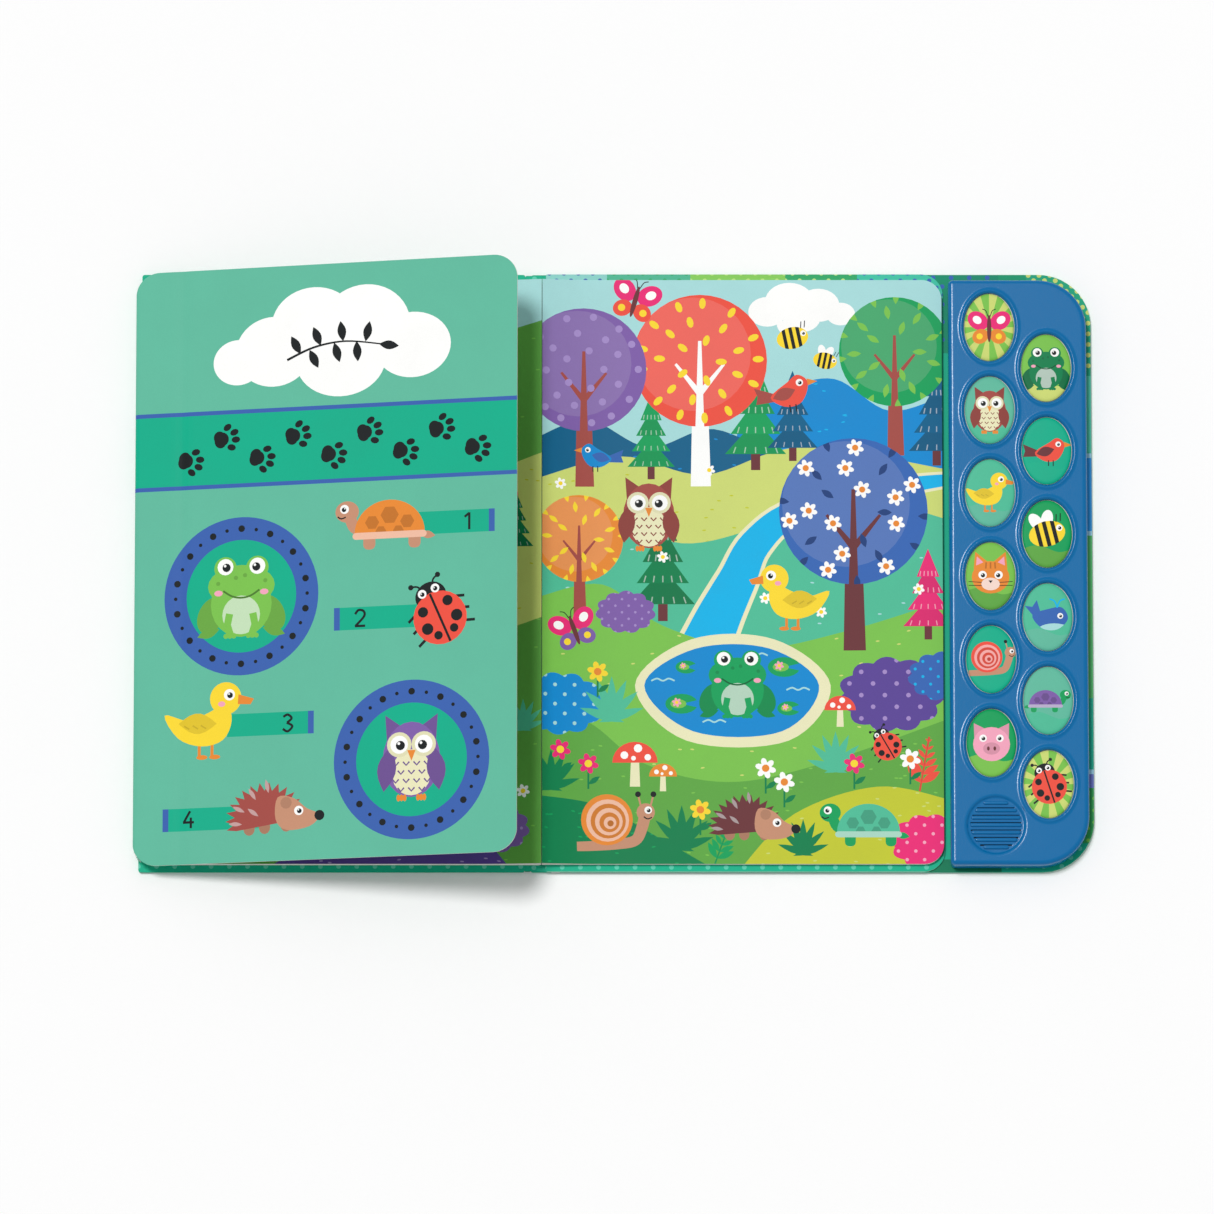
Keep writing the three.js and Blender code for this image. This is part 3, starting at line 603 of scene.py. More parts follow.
def turtle(put, shell, skin):
    for x in (-7.4, 6):
        put(rounded(x - 1.8, -7.6, x + 1.8, -1, (1.4,) * 4, 3), skin)
    put(lens(-9, -3.6, 4.6, 2.2, 190), skin)
    neck = [(7, -2.4), (10.4, -1), (11.8, 2.2)]
    put(stroke(flowing(neck), 3.4), skin)
    put(oval(12.6, 3.6, 3.5, 3.1), skin)
    dome = [(10.4 * math.cos(a), -3 + 9.6 * math.sin(a)) for a in (math.pi * i / 20 for i in range(21))]
    back = put(dome, shell)
    for x, y, size in ((0, 2.2, 2.7), (-5.2, 0.2, 2.1), (5.2, 0.2, 2.1), (-2.6, -2.4, 1.6),
            (2.6, -2.4, 1.6)):
        put(oval(x, y, size, count=6), shade(shell, 0.68), back)
    put(rounded(-11, -4.6, 11, -2.6, (1,) * 4, 3), shade(shell, 1.35))
    eye(put, 13.4, 4.4, 0.6)
    put(stroke(flowing([(13, 2.1), (14.4, 1.7), (15.4, 2.3)]), 0.4), "black")


def ladybird(put, wings):
    for side in (-1, 1):
        put(stroke(flowing([(side * 1.6, 8), (side * 2.6, 11), (side * 4.6, 12)]), 0.6), "black")
        put(oval(side * 4.8, 12, 0.9, count=8), "black")
        for y in (-5, -0.5, 3.6):
            put(stroke([(side * 6, y), (side * 10, y - 1.6)], 0.9), "black")
    put(oval(0, 6.6, 5.2, 4.6), "black")
    put(oval(0, -1, 8.8, 8.6), wings)
    put(stroke([(0, 7.4), (0, -9.4)], 0.8), "black")
    for side in (-1, 1):
        for x, y, size in ((4.4, 3, 1.7), (5.2, -2.6, 1.9), (2.8, -6, 1.4)):
            put(oval(side * x, y, size, count=14), "black")
        eye(put, side * 2.3, 8.4, 0.65, 0)


def duck(put, body):
    for x in (-1.6, 2.2):
        put(stroke([(x, -6), (x, -10)], 0.9), "orange")
        put(oval(x + 0.8, -10.2, 1.7, 0.7, count=10), "orange")
    shape = [(-12, 2.4), (-8, -4.4), (-1, -7), (5.4, -5.4), (8, 0), (6.4, 5), (1, 2.6), (-5, 0.6)]
    put(flowing(shape, 4, True), body)
    put(oval(6.2, 6.6, 4.7), body)
    put([(10, 7.6), (14.6, 6.2), (13.6, 4.6), (9.8, 4.8)], "orange")
    put(lens(3.6, -0.6, 11.5, 6, 178), shade(body, 0.78))
    for x in (-4.6, -2, 0.4):
        put(stroke([(x, -1.9), (x - 1.6, -0.9)], 0.45), shade(body, 0.6))
    eye(put, 7.3, 7.6, 0.75)
    put(oval(5, 5, 1.1, 0.8, count=10), "pink")


def hedgehog(put, spikes, face):
    coat = []
    for i in range(31):
        a = math.radians(-8 + 206 * i / 30)
        r = 10.6 if i % 2 else 8.2
        coat.append((-2 + r * 1.12 * math.cos(a), -2.6 + r * math.sin(a)))
    for x in (-7, -2.4, 4):
        put(oval(x, -4.9, 1.7, 2.0, count=12), shade(face, 0.7))
    put(coat, spikes)
    snout = [(2, 3.2), (6.6, 2.6), (10.4, -0.8), (14, -3), (11, -6), (4, -6.4), (1, -3)]
    put(flowing(snout, 4, True), face)
    for x, y, turn in ((-8, 0, 150), (-4.5, 3.2, 118), (-0.6, 4.8, 98), (-9, -3.4, 172),
            (-4, -1.6, 140)):
        put(lens(x, y, 4, 1.2, turn), shade(spikes, 1.3))
    put(oval(14, -3.2, 1.5, count=12), "black")
    put(oval(4.4, 1.4, 1.7, count=12), shade(face, 0.78))
    eye(put, 8, -1.2, 0.62)


def bird(put, body, wing):
    put([(-5, 0), (-13, 3.4), (-12, -0.2), (-13, -3.2), (-5, -3)], wing)
    shape = [(-7, -1), (-2, -5.4), (4, -5), (7.4, -0.6), (8, 4), (4.4, 6.6), (0.4, 4.2)]
    put(flowing(shape, 4, True), body)
    put([(8, 4.6), (12, 3), (8.2, 1.8)], "orange")
    put(lens(3, 0.8, 9.5, 5, 195), wing)
    eye(put, 5, 3.4, 0.65)
    for x in (0, 2.4):
        put(stroke([(x, -5), (x, -8)], 0.5), "black")


def butterfly(put, upper, lower):
    for side in (-1, 1):
        put(oval(side * 5.6, 4, 5.6, 4.4, side * 38), upper)
        put(oval(side * 4.4, -4, 4.2, 3.6, -side * 32), lower)
        put(oval(side * 6, 4.4, 2.4, 1.9, side * 38, 14), "white")
        put(oval(side * 4.8, -4, 1.6, count=12), "yellow")
        put(stroke(flowing([(side * 0.5, 6), (side * 1.6, 9), (side * 3.4, 10)]), 0.4), "black")
    put(oval(0, 0, 1.1, 7), "dark brown")


def bee(put):
    for side in (-1, 1):
        put(oval(-1 + side * 2.6, 6.6, 2.8, 4.6, -side * 24), "white")
    body = put(oval(0, 0, 8.6, 6), "yellow")
    for x in (-5, -1.2, 2.6):
        put([(x, -7), (x + 1.9, -7), (x + 1.9, 7), (x, 7)], "black", body)
    eye(put, 6.2, 1.4, 0.7)
    for x in (5.4, 7.4):
        put(stroke([(x, 4.4), (x + 1, 8)], 0.5), "black")


def round_tree(art, x, y, radius, crown, spots, trunk=None, spot="oval", seed=1):
    """A tree with a ball of a crown, its pattern kept inside the ball."""
    trunk = trunk or "brown"
    paint(art, stroke([(x, y), (x + 0.4, y - radius * 1.9)], radius * 0.2, radius * 0.3), trunk)
    ball = paint(art, oval(x, y, radius, count=40), crown)
    paint(art, oval(x - radius * 0.1, y + radius * 0.1, radius * 0.86, count=36), shade(crown, 1.06),
        ball)
    for side in (-1, 1):
        twig = [(x, y - radius * 0.5), (x + side * radius * 0.36, y - radius * 0.05)]
        paint(art, stroke(twig, radius * 0.09, radius * 0.04), trunk, ball)
    paint(art, stroke([(x, y - radius), (x, y + radius * 0.3)], radius * 0.13, radius * 0.05),
        trunk, ball)
    turns = random.Random(seed)
    for step in range(3):
        count = (5, 9, 13)[step]
        reach = radius * (0.32, 0.6, 0.87)[step]
        for i in range(count):
            a = math.tau * (i + 0.5 * (step % 2)) / count + turns.uniform(-0.1, 0.1)
            px, py = x + reach * math.cos(a), y + reach * math.sin(a)
            if spot == "oval":
                paint(art, oval(px, py, radius * 0.085, radius * 0.05, math.degrees(a), 10),
                    spots, ball)
            elif spot == "leaf":
                paint(art, lens(px, py, radius * 0.26, radius * 0.11, math.degrees(a), 5), spots, ball)
            elif spot == "flower":
                if (i + step) % 2:
                    daisy(art, px, py, radius * 0.12, spots, "orange", ball)
                else:
                    paint(art, lens(px, py, radius * 0.2, radius * 0.09, math.degrees(a), 5),
                        "night", ball)
            else:
                paint(art, oval(px, py, radius * 0.06, count=10), spots, ball)


def daisy(art, x, y, radius, petals, heart, within=None):
    paint(art, lobed(x, y, radius, 6, 0.45, 15, per_lobe=5), petals, within)
    paint(art, oval(x, y, radius * 0.36, count=10), heart, within)


def pine(art, x, y, height, tone):
    paint(art, stroke([(x, y), (x, y + height * 0.3)], height * 0.09), "dark brown")
    for step in range(4):
        low = y + height * (0.16 + 0.2 * step)
        wide = height * (0.3 - 0.055 * step)
        tier = [(x - wide, low), (x + wide, low), (x, low + height * 0.34)]
        level = paint(art, tier, shade(tone, 1 if step % 2 else 0.86))
        for i in range(-2, 3):
            px = x + wide * 0.36 * i
            needle = stroke([(px, low + 0.4), (px * 0.9 + x * 0.1, low + height * 0.07)],
                height * 0.012)
            paint(art, needle, shade(tone, 1.35), level)


def mushroom(art, x, y, size, cap):
    paint(art, stroke([(x, y), (x, y + size)], size * 0.34, size * 0.26), "cream")
    dome = []
    for i in range(13):
        a = math.pi * i / 12
        dome.append((x + size * 0.75 * math.cos(a), y + size * (0.8 + 0.7 * math.sin(a))))
    top = paint(art, dome, cap)
    for px, py, r in ((-0.35, 1.05, 0.13), (0.1, 1.28, 0.14), (0.42, 0.98, 0.11), (-0.05, 0.95, 0.08)):
        paint(art, oval(x + px * size, y + py * size, r * size, count=10), "white", top)


def tuft(art, x, y, size, tone, blades=5):
    for i in range(blades):
        turn = 90 + (i - (blades - 1) / 2) * 24
        paint(art, lens(x + (i - (blades - 1) / 2) * size * 0.09, y, size, size * 0.2, turn, 5), tone)


def fern(art, x, y, size, tone, turn=90, pairs=6):
    c, s = math.cos(math.radians(turn)), math.sin(math.radians(turn))
    paint(art, stroke([(x, y), (x + size * c, y + size * s)], size * 0.035), shade(tone, 0.8))
    for i in range(1, pairs + 1):
        t = i / (pairs + 0.6)
        for side in (-1, 1):
            length = size * 0.42 * (1.1 - t)
            px, py = x + size * t * c, y + size * t * s
            paint(art, lens(px, py, length, length * 0.36, turn + side * 48, 5), tone)


def hill(art, crest, low, tone, texture=None):
    """Rising ground under a smooth crest, with short marks printed on it."""
    top = flowing(crest, 8)
    ground = paint(art, [(top[0][0], low)] + [(top[-1][0], low)] + top[::-1], tone)
    if texture:
        marks = random.Random(len(art))
        for _ in range(texture[1]):
            px = marks.uniform(crest[0][0], crest[-1][0])
            py = marks.uniform(low, max(p[1] for p in crest))
            paint(art, oval(px, py, 0.9, 0.34, marks.uniform(-12, 12), 8), texture[0], ground)
    return ground


def cloud(art, x, y, size):
    for px, py, r in ((-0.62, -0.02, 0.34), (-0.22, 0.16, 0.44), (0.3, 0.1, 0.38),
            (0.7, -0.06, 0.26), (0, -0.12, 0.34)):
        paint(art, oval(x + px * size, y + py * size, r * size, r * size * 0.8, count=28), "white")


def bush(art, x, y, size, tone, dots_tone, seed=0):
    shape = paint(art, lobed(x, y, size, 11, 0.12, seed * 7, 0.72, 6), tone)
    spotted(art, x - size, y - size, x + size, y + size, size * 0.44, size * 0.045, dots_tone, shape, 8)


right_art = []
patch(right_art, -1, -130, 175, 130, "page green")
patch(right_art, -1, 30, 175, 130, "sky")
cloud(right_art, 112, 114, 24)
hill(right_art, [(84, 60), (104, 78), (126, 84), (150, 70), (176, 78)],
    30, "bright blue", ("water", 60))
hill(right_art, [(-2, 58), (20, 66), (46, 54), (74, 62), (104, 48)],
    20, "dark blue", ("bright blue", 46))
hill(right_art, [(-2, 40), (34, 50), (70, 42), (112, 54), (176, 44)], -20, "meadow", ("olive", 90))
for x, y, height in ((92, 44, 44), (108, 48, 36), (47, 40, 34), (170, 46, 40)):
    pine(right_art, x, y, height, "green" if x < 100 else "dark blue")
round_tree(right_art, 68, 92, 29, "red", "yellow", "white", spot="oval", seed=3)
round_tree(right_art, 18, 88, 27, "purple", "lilac", spot="dot", seed=5)
round_tree(right_art, 152, 96, 24, "green", "grass", spot="leaf", seed=11)
hill(right_art, [(-2, 20), (24, 26), (60, 12), (98, 20), (140, 30), (176, 22)],
    -60, "teal", ("sky", 70))
stream = [(176, 40), (150, 36), (110, 26), (92, 12), (84, -4), (76, -20), (70, -34)]
paint(right_art, stroke(flowing(stream), 7, 26), "cream")
paint(right_art, stroke(flowing(stream), 4.6, 22), "water")
hill(right_art, [(-2, -12), (26, -6), (52, -24), (90, -34), (132, -26), (176, -12)],
    -131, "grass", ("meadow", 120))
shore = [(40, -50), (64, -30), (100, -30), (124, -50), (106, -74), (62, -74)]
water = [(44, -50), (66, -34), (98, -34), (119, -50), (103, -70), (65, -70)]
paint(right_art, flowing(shore, 8, True), "cream")
pond = paint(right_art, flowing(water, 8, True), "bright blue")
for x, y, r in ((60, -58, 7), (104, -42, 7), (106, -60, 5), (62, -42, 4.6)):
    pad = paint(right_art, oval(x, y, r, r * 0.62, count=20), "green")
    paint(right_art, [(x, y), (x + r, y + 1.6), (x + r, y - 1.6)], "bright blue", pad)
    paint(right_art, oval(x - r * 0.2, y, r * 0.5, r * 0.28, count=12), "grass", pad)
    daisy(right_art, x - r * 0.3, y + 0.6, r * 0.3, "pink", "yellow")
for x, y in ((52, -48), (110, -52), (74, -66), (92, -37)):
    wave = [(x - 5, y), (x - 2.5, y + 1), (x, y), (x + 2.5, y + 1), (x + 5, y)]
    paint(right_art, stroke(flowing(wave, 4), 0.7), "sky", pond)
hill(right_art, [(-2, -62), (20, -66), (44, -84), (80, -92), (120, -84), (176, -64)],
    -131, "page green", ("grass", 120))
hill(right_art, [(84, -131), (108, -106), (144, -94), (176, -100)], -131, "olive", ("meadow", 46))
hill(right_art, [(-2, -98), (24, -102), (50, -116), (76, -131)], -131, "deep green", ("green", 50))
round_tree(right_art, 134, 26, 32, "blue", "white", "dark brown", "flower", seed=7)
round_tree(right_art, 16, 14, 19, "orange", "yellow", spot="leaf", seed=13)
for x, y, height in ((52, -22, 46), (166, -30, 36)):
    pine(right_art, x, y, height, "magenta" if x > 100 else "deep green")
bush(right_art, 36, -18, 13, "purple", "lilac", 1)
bush(right_art, 150, -54, 23, "deep purple", "lilac", 2)
bush(right_art, 172, -46, 15, "blue", "water", 6)
bush(right_art, 8, -58, 19, "bright blue", "sky", 3)
bush(right_art, 166, -118, 17, "magenta", "pink", 4)
for x, y, size in ((30, -66, 20), (60, -122, 20), (126, -88, 18), (4, -96, 18), (112, -124, 16)):
    tuft(right_art, x, y, size, "teal" if x % 4 else "deep green", 7)
fern(right_art, 162, -96, 24, "red", 80)
fern(right_art, 74, -128, 20, "green", 70)
for x, y, size, cap in ((40, -94, 13, "red"), (52, -96, 8, "orange"), (128, -68, 9, "red")):
    mushroom(right_art, x, y, size, cap)
for x, y, tone in ((8, -78, "magenta"), (20, -84, "magenta"), (96, -86, "white"),
        (104, -92, "white"), (68, -104, "yellow"), (134, -84, "magenta"), (158, -82, "white"),
        (24, -44, "yellow")):
    paint(right_art, stroke([(x, y - 11), (x, y)], 0.8), "deep green")
    paint(right_art, lens(x, y - 9, 6, 2.4, 35, 4), "deep green")
    daisy(right_art, x, y, 4.6, tone, "orange" if tone != "magenta" else "yellow")
for x, y in ((8, 38), (52, 6), (96, -12), (162, -8), (120, -18), (72, 44), (40, 30)):
    daisy(right_art, x, y, 2.6, "white", "yellow")
owl(pen(right_art, 46, 24, 1.35), "brown", "cream")
frog(pen(right_art, 84, -50, 1.35), "green")
snail(pen(right_art, 30, -110, 1.35), "orange", "tan")
turtle(pen(right_art, 140, -110, 1.3, flip=True), "teal", "green")
duck(pen(right_art, 108, -12, 1.3, flip=True), "yellow")
hedgehog(pen(right_art, 90, -108, 1.35), "dark brown", "tan")
bird(pen(right_art, 106, 78, 1.1, 8), "red", "brown")
bird(pen(right_art, 24, 50, 0.85, flip=True), "bright blue", "blue")
butterfly(pen(right_art, 40, 118, 1.0, -16), "magenta", "red")
butterfly(pen(right_art, 14, -26, 0.95, 20), "magenta", "purple")
ladybird(pen(right_art, 148, -76, 0.7, 30), "red")
bee(pen(right_art, 108, 102, 0.8, 12))
bee(pen(right_art, 122, 92, 0.6, -12))

left_art = []
patch(left_art, -175, -130, 1, 130, "page green")
patch(left_art, -175, 40, 1, 130, "sky")
cloud(left_art, -120, 100, 22)
hill(left_art, [(-176, 60), (-140, 84), (-96, 70), (-60, 52)], 20, "bright blue", ("water", 40))
hill(left_art, [(-110, 40), (-64, 66), (-30, 98), (2, 110)], 10, "page green", ("grass", 60))
hill(left_art, [(-176, 36), (-120, 44), (-70, 30), (2, 52)], -60, "meadow", ("olive", 60))
hill(left_art, [(-176, -30), (-120, -20), (-60, -36), (2, -20)], -131, "page green", ("grass", 90))
hill(left_art, [(-120, -131), (-80, -108), (-40, -104), (-12, -131)],
    -131, "deep purple", ("lilac", 30))
round_tree(left_art, -34, 30, 24, "red", "yellow", seed=2)
round_tree(left_art, -84, 44, 18, "blue", "white", spot="flower", seed=4)
round_tree(left_art, -146, 30, 22, "green", "meadow", spot="leaf", seed=6)
for x, y, height in ((-112, 20, 34), (-62, 10, 30), (-12, 6, 28), (-164, -10, 30)):
    pine(left_art, x, y, height, "deep green")
bush(left_art, -20, -112, 15, "purple", "lilac", 1)
bush(left_art, -148, -60, 16, "teal", "cream", 2)
for x, y, size in ((-44, -60, 14), (-100, -84, 16), (-8, -70, 14), (-130, -110, 16)):
    tuft(left_art, x, y, size, "teal", 7)
for x, y in ((-24, -44), (-60, -70), (-96, -52), (-120, -90), (-8, -96), (-160, -100)):
    daisy(left_art, x, y, 3, "white", "yellow")
mushroom(left_art, -76, -74, 9, "red")
duck(pen(left_art, -112, -40, 0.9), "yellow")
frog(pen(left_art, -40, -84, 0.8), "green")

right_outline = rounded(
    GUTTER_GAP, -PAGE_HALF_HEIGHT, PAGE_EDGE, PAGE_HALF_HEIGHT, (0.2, PAGE_CORNER, PAGE_CORNER, 0.2), 10
)
left_outline = [(-x, y) for x, y in right_outline][::-1]
leaf_edge = finish(
    "leaf_edge", screen("F4F1EA"), roughness=0.7, mottle=0.05, patch=14, grain=0.05, grain_size=0.25,
    stretch=(1, 1, 6)
)
leaf_print = finish(
    "leaf_print", roughness=0.5, mottle=0.035, patch=30, grain=0.018, specular=0.14, attribute="ink"
)
dress(["left_pages", "right_pages"], leaf_edge)
for name, outline, art, body, side in (
    ("right_leaf_print", right_outline, right_art, "case_back", 1),
    ("left_leaf_print", left_outline, left_art, "case_front", -1),
):
    bends = [side * x for x in gutter_bends]
    leaf = own(name, printed_mesh(name, outline, art, bends=bends, surface=leaf_height))
    thicken(leaf, LEAF_SHEET, leaf_print, leaf_edge)
    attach(leaf, body)
    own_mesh(leaf)

# Outer cover paper: the print on the outside of the case. The front has a picture, the spine
# has spots, and the back has a small picture and an opening for the battery door.
OUTER_THICK = 0.05
OUTER_INSET = 0.3
DOOR_WAY = (-215.4, -11.4, -194.1, 43.4)
front_art = []
patch(front_art, 0, -132, 180, 132, "case")
spotted(front_art, 7, -130, 174, 130, BORDER_PITCH, BORDER_DOT, "case light")
scene_patch = paint(front_art, rounded(17, -120, 163, 120, (12,) * 4), "sky")
for crest, low, tone, marks in (
    ([(10, 40), (50, 74), (96, 60), (130, 78), (170, 56)], -120, "bright blue", "water"),
    ([(10, 20), (60, 36), (110, 22), (170, 44)], -120, "meadow", "olive"),
    ([(10, -30), (54, -12), (112, -34), (170, -16)], -120, "grass", "meadow"),
    ([(10, -80), (60, -66), (120, -84), (170, -70)], -120, "page green", "grass"),
):
    top = flowing(crest, 8)
    paint(front_art, [(top[0][0], low), (top[-1][0], low)] + top[::-1], tone, scene_patch)
cloud(front_art, 52, 104, 19)
cloud(front_art, 124, 92, 23)
round_tree(front_art, 46, 34, 22, "red", "yellow", seed=31)
round_tree(front_art, 138, 18, 18, "purple", "lilac", spot="dot", seed=33)
for x, y, height in ((80, -6, 40), (112, -20, 34), (28, -34, 34)):
    pine(front_art, x, y, height, "deep green")
owl(pen(front_art, 90, -58, 2.5), "brown", "cream")
frog(pen(front_art, 46, -92, 1.3), "green")
snail(pen(front_art, 134, -94, 1.3, flip=True), "orange", "tan")
mushroom(front_art, 70, -104, 9, "red")
for x, y in ((30, -70), (62, -80), (120, -64), (148, -56), (110, -106), (152, -110)):
    daisy(front_art, x, y, 4, "white", "yellow")
back_art = []
patch(back_art, -240, -132, 0, 132, "case")
spotted(back_art, -237, -130, -8, 130, BORDER_PITCH, BORDER_DOT, "case light")
paint(back_art, rounded(-150, -70, -40, 70, (12,) * 4), "panel")
paint(back_art, rounded(-147, -67, -43, 67, (10,) * 4), "sky")
frog(pen(back_art, -95, -8, 3), "green")
paint(back_art, rounded(*DOOR_WAY, (2,) * 4, 4), None)
spine_art = []
patch(spine_art, -8, -132, 8, 132, "band")
spotted(spine_art, -8, -130, 8, 130, BORDER_PITCH, BORDER_DOT, "case light")
back_corners = (COVER_CORNER, SMALL_CORNER, SMALL_CORNER, COVER_CORNER)
high = BOARD_HALF_HEIGHT - OUTER_INSET
front_paper = rounded(BOARD_INNER_EDGE, -high, -COVER_LEFT - OUTER_INSET, high, (SMALL_CORNER,) * 4, 4)
back_paper = rounded(OUTER_INSET - COVER_RIGHT, -high, -BOARD_INNER_EDGE, high, back_corners, 14)
spine_paper = rounded(-SPINE_HALF_WIDTH, -high, SPINE_HALF_WIDTH, high, (0.3,) * 4, 3)
for name, outline, art, body in (
    ("front_outer", front_paper, front_art, "case_front"),
    ("back_outer", back_paper, back_art, "case_back"),
    ("spine_outer", spine_paper, spine_art, "spine"),
):
    outer = own(name, printed_mesh(name, outline, art, surface=lambda x, y: (-x, y, -OUTER_THICK)))
    thicken(outer, OUTER_THICK, case_print, bare_paper, edge=0)
    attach(outer, body)

# Fold-out flap: one sheet of thick card, printed on its outer side. It is glued under the left
# page's outer edge, folds round that edge and springs up a little over the page.
FLAP_THICK = 0.6
FLAP_HALF_HEIGHT = 129.3
FLAP_CORNER = 10.3
FLAP_RISE = math.radians(15)
FLAP_LENGTH = 162.7 / math.cos(FLAP_RISE)
FOLD_RADIUS = 2.3
FOLD_X, FOLD_Z = -172.4, 7.5
FOLD_ARC = FOLD_RADIUS * (math.pi - FLAP_RISE)
GLUED_EDGE = 0.9
CREASE_AT = 19.0
CREASE_DEPTH, CREASE_WIDTH = 0.28, 2.6
RING_RADIUS, BEAD_PATH, PICTURE_RADIUS = 34.4, 29.4, 24.5
TAG_HALF_HEIGHT, TAG_END = 4.9, 2.6


def flap_place(along, y):
    """A point of the card's outer face, from how far it lies along the card."""
    reach = FOLD_RADIUS + FLAP_THICK / 2
    if along < -FOLD_ARC:
        return (FOLD_X - along - FOLD_ARC, y, FOLD_Z - reach)
    if along < 0:
        a = math.pi / 2 + FLAP_RISE - along / FOLD_RADIUS
        return (FOLD_X + reach * math.cos(a), y, FOLD_Z + reach * math.sin(a))
    c, s = math.cos(FLAP_RISE), math.sin(FLAP_RISE)
    sink = CREASE_DEPTH * math.exp(-(((along - CREASE_AT) / CREASE_WIDTH) ** 2))
    out = reach - sink
    return (FOLD_X - out * s + along * c, y, FOLD_Z + out * c + along * s)


def flap_outline():
    """The card's outline, rounded at the four corners that show."""
    stations = [-FOLD_ARC - GLUED_EDGE] + [-FOLD_ARC + FOLD_ARC * i / 16 for i in range(16)]
    stations += [0.8 * i for i in range(14)] + [FLAP_LENGTH - FLAP_CORNER]
    stations += [FLAP_LENGTH - FLAP_CORNER * (1 - math.sin(math.pi / 2 * i / 12)) for i in range(1, 13)]
    left, right = flap_place(-FOLD_ARC * 0.45, 0)[0] - 0.05, flap_place(FLAP_LENGTH, 0)[0] + 0.05
    side = []
    for along in stations:
        x = flap_place(along, 0)[0]
        edge = min(max(min(x - left, right - x), 0), FLAP_CORNER)
        cut = FLAP_CORNER - math.sqrt(max(FLAP_CORNER**2 - (FLAP_CORNER - edge) ** 2, 0))
        side.append((along, FLAP_HALF_HEIGHT - cut))
    return [(u, -v) for u, v in side] + side[::-1]


def number(put, figure):
    lines = {
        1: [[(-1.5, 1.6), (0.3, 3.0)], [(0.3, 3.2), (0.3, -3.2)]],
        2: [flowing([(-1.9, 1.6), (-0.6, 3.1), (1.4, 2.6), (1.5, 0.6), (-1.8, -2.9)]),
            [(-2, -2.9), (2, -2.9)]],
        3: [flowing([(-1.7, 2.4), (0, 3.2), (1.5, 1.8), (-0.2, 0.2)]),
            flowing([(-0.4, 0.2), (1.8, -1.2), (0, -3.1), (-1.9, -2.1)])],
        4: [[(0.6, 3.2), (-1.9, -1)], [(-2.2, -1), (2.1, -1)], [(0.9, 0.8), (0.9, -3.2)]],
    }
    for line in lines[figure]:
        put(stroke(line, 0.9), "black")


def paw(put):
    put(lobed(0, -1, 2.6, 3, 0.16, 30, 0.9, 8), "black")
    for x, y in ((-3, 1.6), (-1.1, 3.3), (1.1, 3.3), (3, 1.6)):
        put(oval(x, y, 0.95, 1.3, -x * 8, 10), "black")


def medallion(art, x, y):
    """A round picture in a wide ring, with a row of small beads in the ring."""
    paint(art, oval(x, y, RING_RADIUS, count=72), "ring")
    for i in range(28):
        a = math.tau * i / 28
        bead = 1.5 if i % 2 else 0.8
        px, py = x + BEAD_PATH * math.cos(a), y + BEAD_PATH * math.sin(a)
        paint(art, oval(px, py, bead, count=10), "black")
    return paint(art, oval(x, y, PICTURE_RADIUS, count=60), "band")


def tag(art, x, y, length, figure, end):
    """A bar behind an animal, with its number and a blue end."""
    low, high = y - TAG_HALF_HEIGHT, y + TAG_HALF_HEIGHT
    patch(art, min(x, x + length), low, max(x, x + length), high, "band")
    tip = x + length
    cap = tip + end * TAG_END
    patch(art, min(tip, cap), low, max(tip, cap), high, "ring")
    number(pen(art, tip - end * 9, y, 1.15), figure)


flap_art = []
patch(flap_art, -10, -132, 175, 132, "panel")
patch(flap_art, -10, 33.4, 175, 67.4, "ring")
patch(flap_art, -10, 35.2, 175, 65.6, "band")
for step in range(9):
    lift = 4.6 if step % 2 else -4.6
    paw(pen(flap_art, 22 + step * 16, 50.4 + lift, 1.5, -78 if step % 2 else -102))
for x, y, r, share in (
    (60, 92, 17, 0.9), (78, 103, 19, 0.86), (101, 101, 20, 0.92), (122, 92, 17, 0.84),
    (90, 87, 20, 0.8), (44, 88, 11, 0.9)
):
    paint(flap_art, oval(x, y, r, r * share, count=44), "white")
sprig = [(66, 88), (78, 93), (92, 95), (108, 93)]
paint(flap_art, stroke(flowing(sprig), 1.1, 0.6), "black")
for x, y, turn in ((72, 90.4, 118), (81, 93.6, 112), (91, 95, 98), (101, 94.4, 78), (76, 92, -64),
        (87, 94.6, -74), (97, 94.8, -86)):
    paint(flap_art, lens(x, y, 9, 3.9, turn), "black")
paint(flap_art, lens(107, 93, 9, 3.9, -8), "black")
medallion(flap_art, 46, -14)
frog(pen(flap_art, 46, -15, 1.62), "grass")
medallion(flap_art, 122, -88)
owl(pen(flap_art, 122, -88, 1.55), "purple", "cream")
tag(flap_art, 104, 14, 52, 1, 1)
turtle(pen(flap_art, 112, 15, 1.5, flip=True), "orange", "tan")
tag(flap_art, 126, -26, -36, 2, -1)
ladybird(pen(flap_art, 134, -26, 1.35, 24), "red")
tag(flap_art, 40, -70, 36, 3, 1)
duck(pen(flap_art, 30, -68, 1.5), "yellow")
tag(flap_art, 58, -110, -44, 4, -1)
hedgehog(pen(flap_art, 60, -107, 1.5, 4), "brown", "tan")
flap_bends = [-FOLD_ARC + FOLD_ARC * i / 12 for i in range(13)]
flap_bends += [12, 14, 16, 17.5, 19, 20.5, 22, 24, 27, 60, 100, 140]
flap_print = finish("flap_print", roughness=0.55, mottle=0.03, patch=40, grain=0.02, specular=0.14,
    attribute="ink")
flap_back = finish("flap_back", shade("panel", 1.25), roughness=0.6, mottle=0.05, patch=30)
flap = own("card_flap", printed_mesh("card_flap", flap_outline(),
    flap_art, flap_bends, surface=flap_place))
thicken(flap, FLAP_THICK, flap_print, flap_back, leaf_edge, back=1, edge=2)
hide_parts("fold_out_flap")
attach(flap, "case_front")
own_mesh(flap)

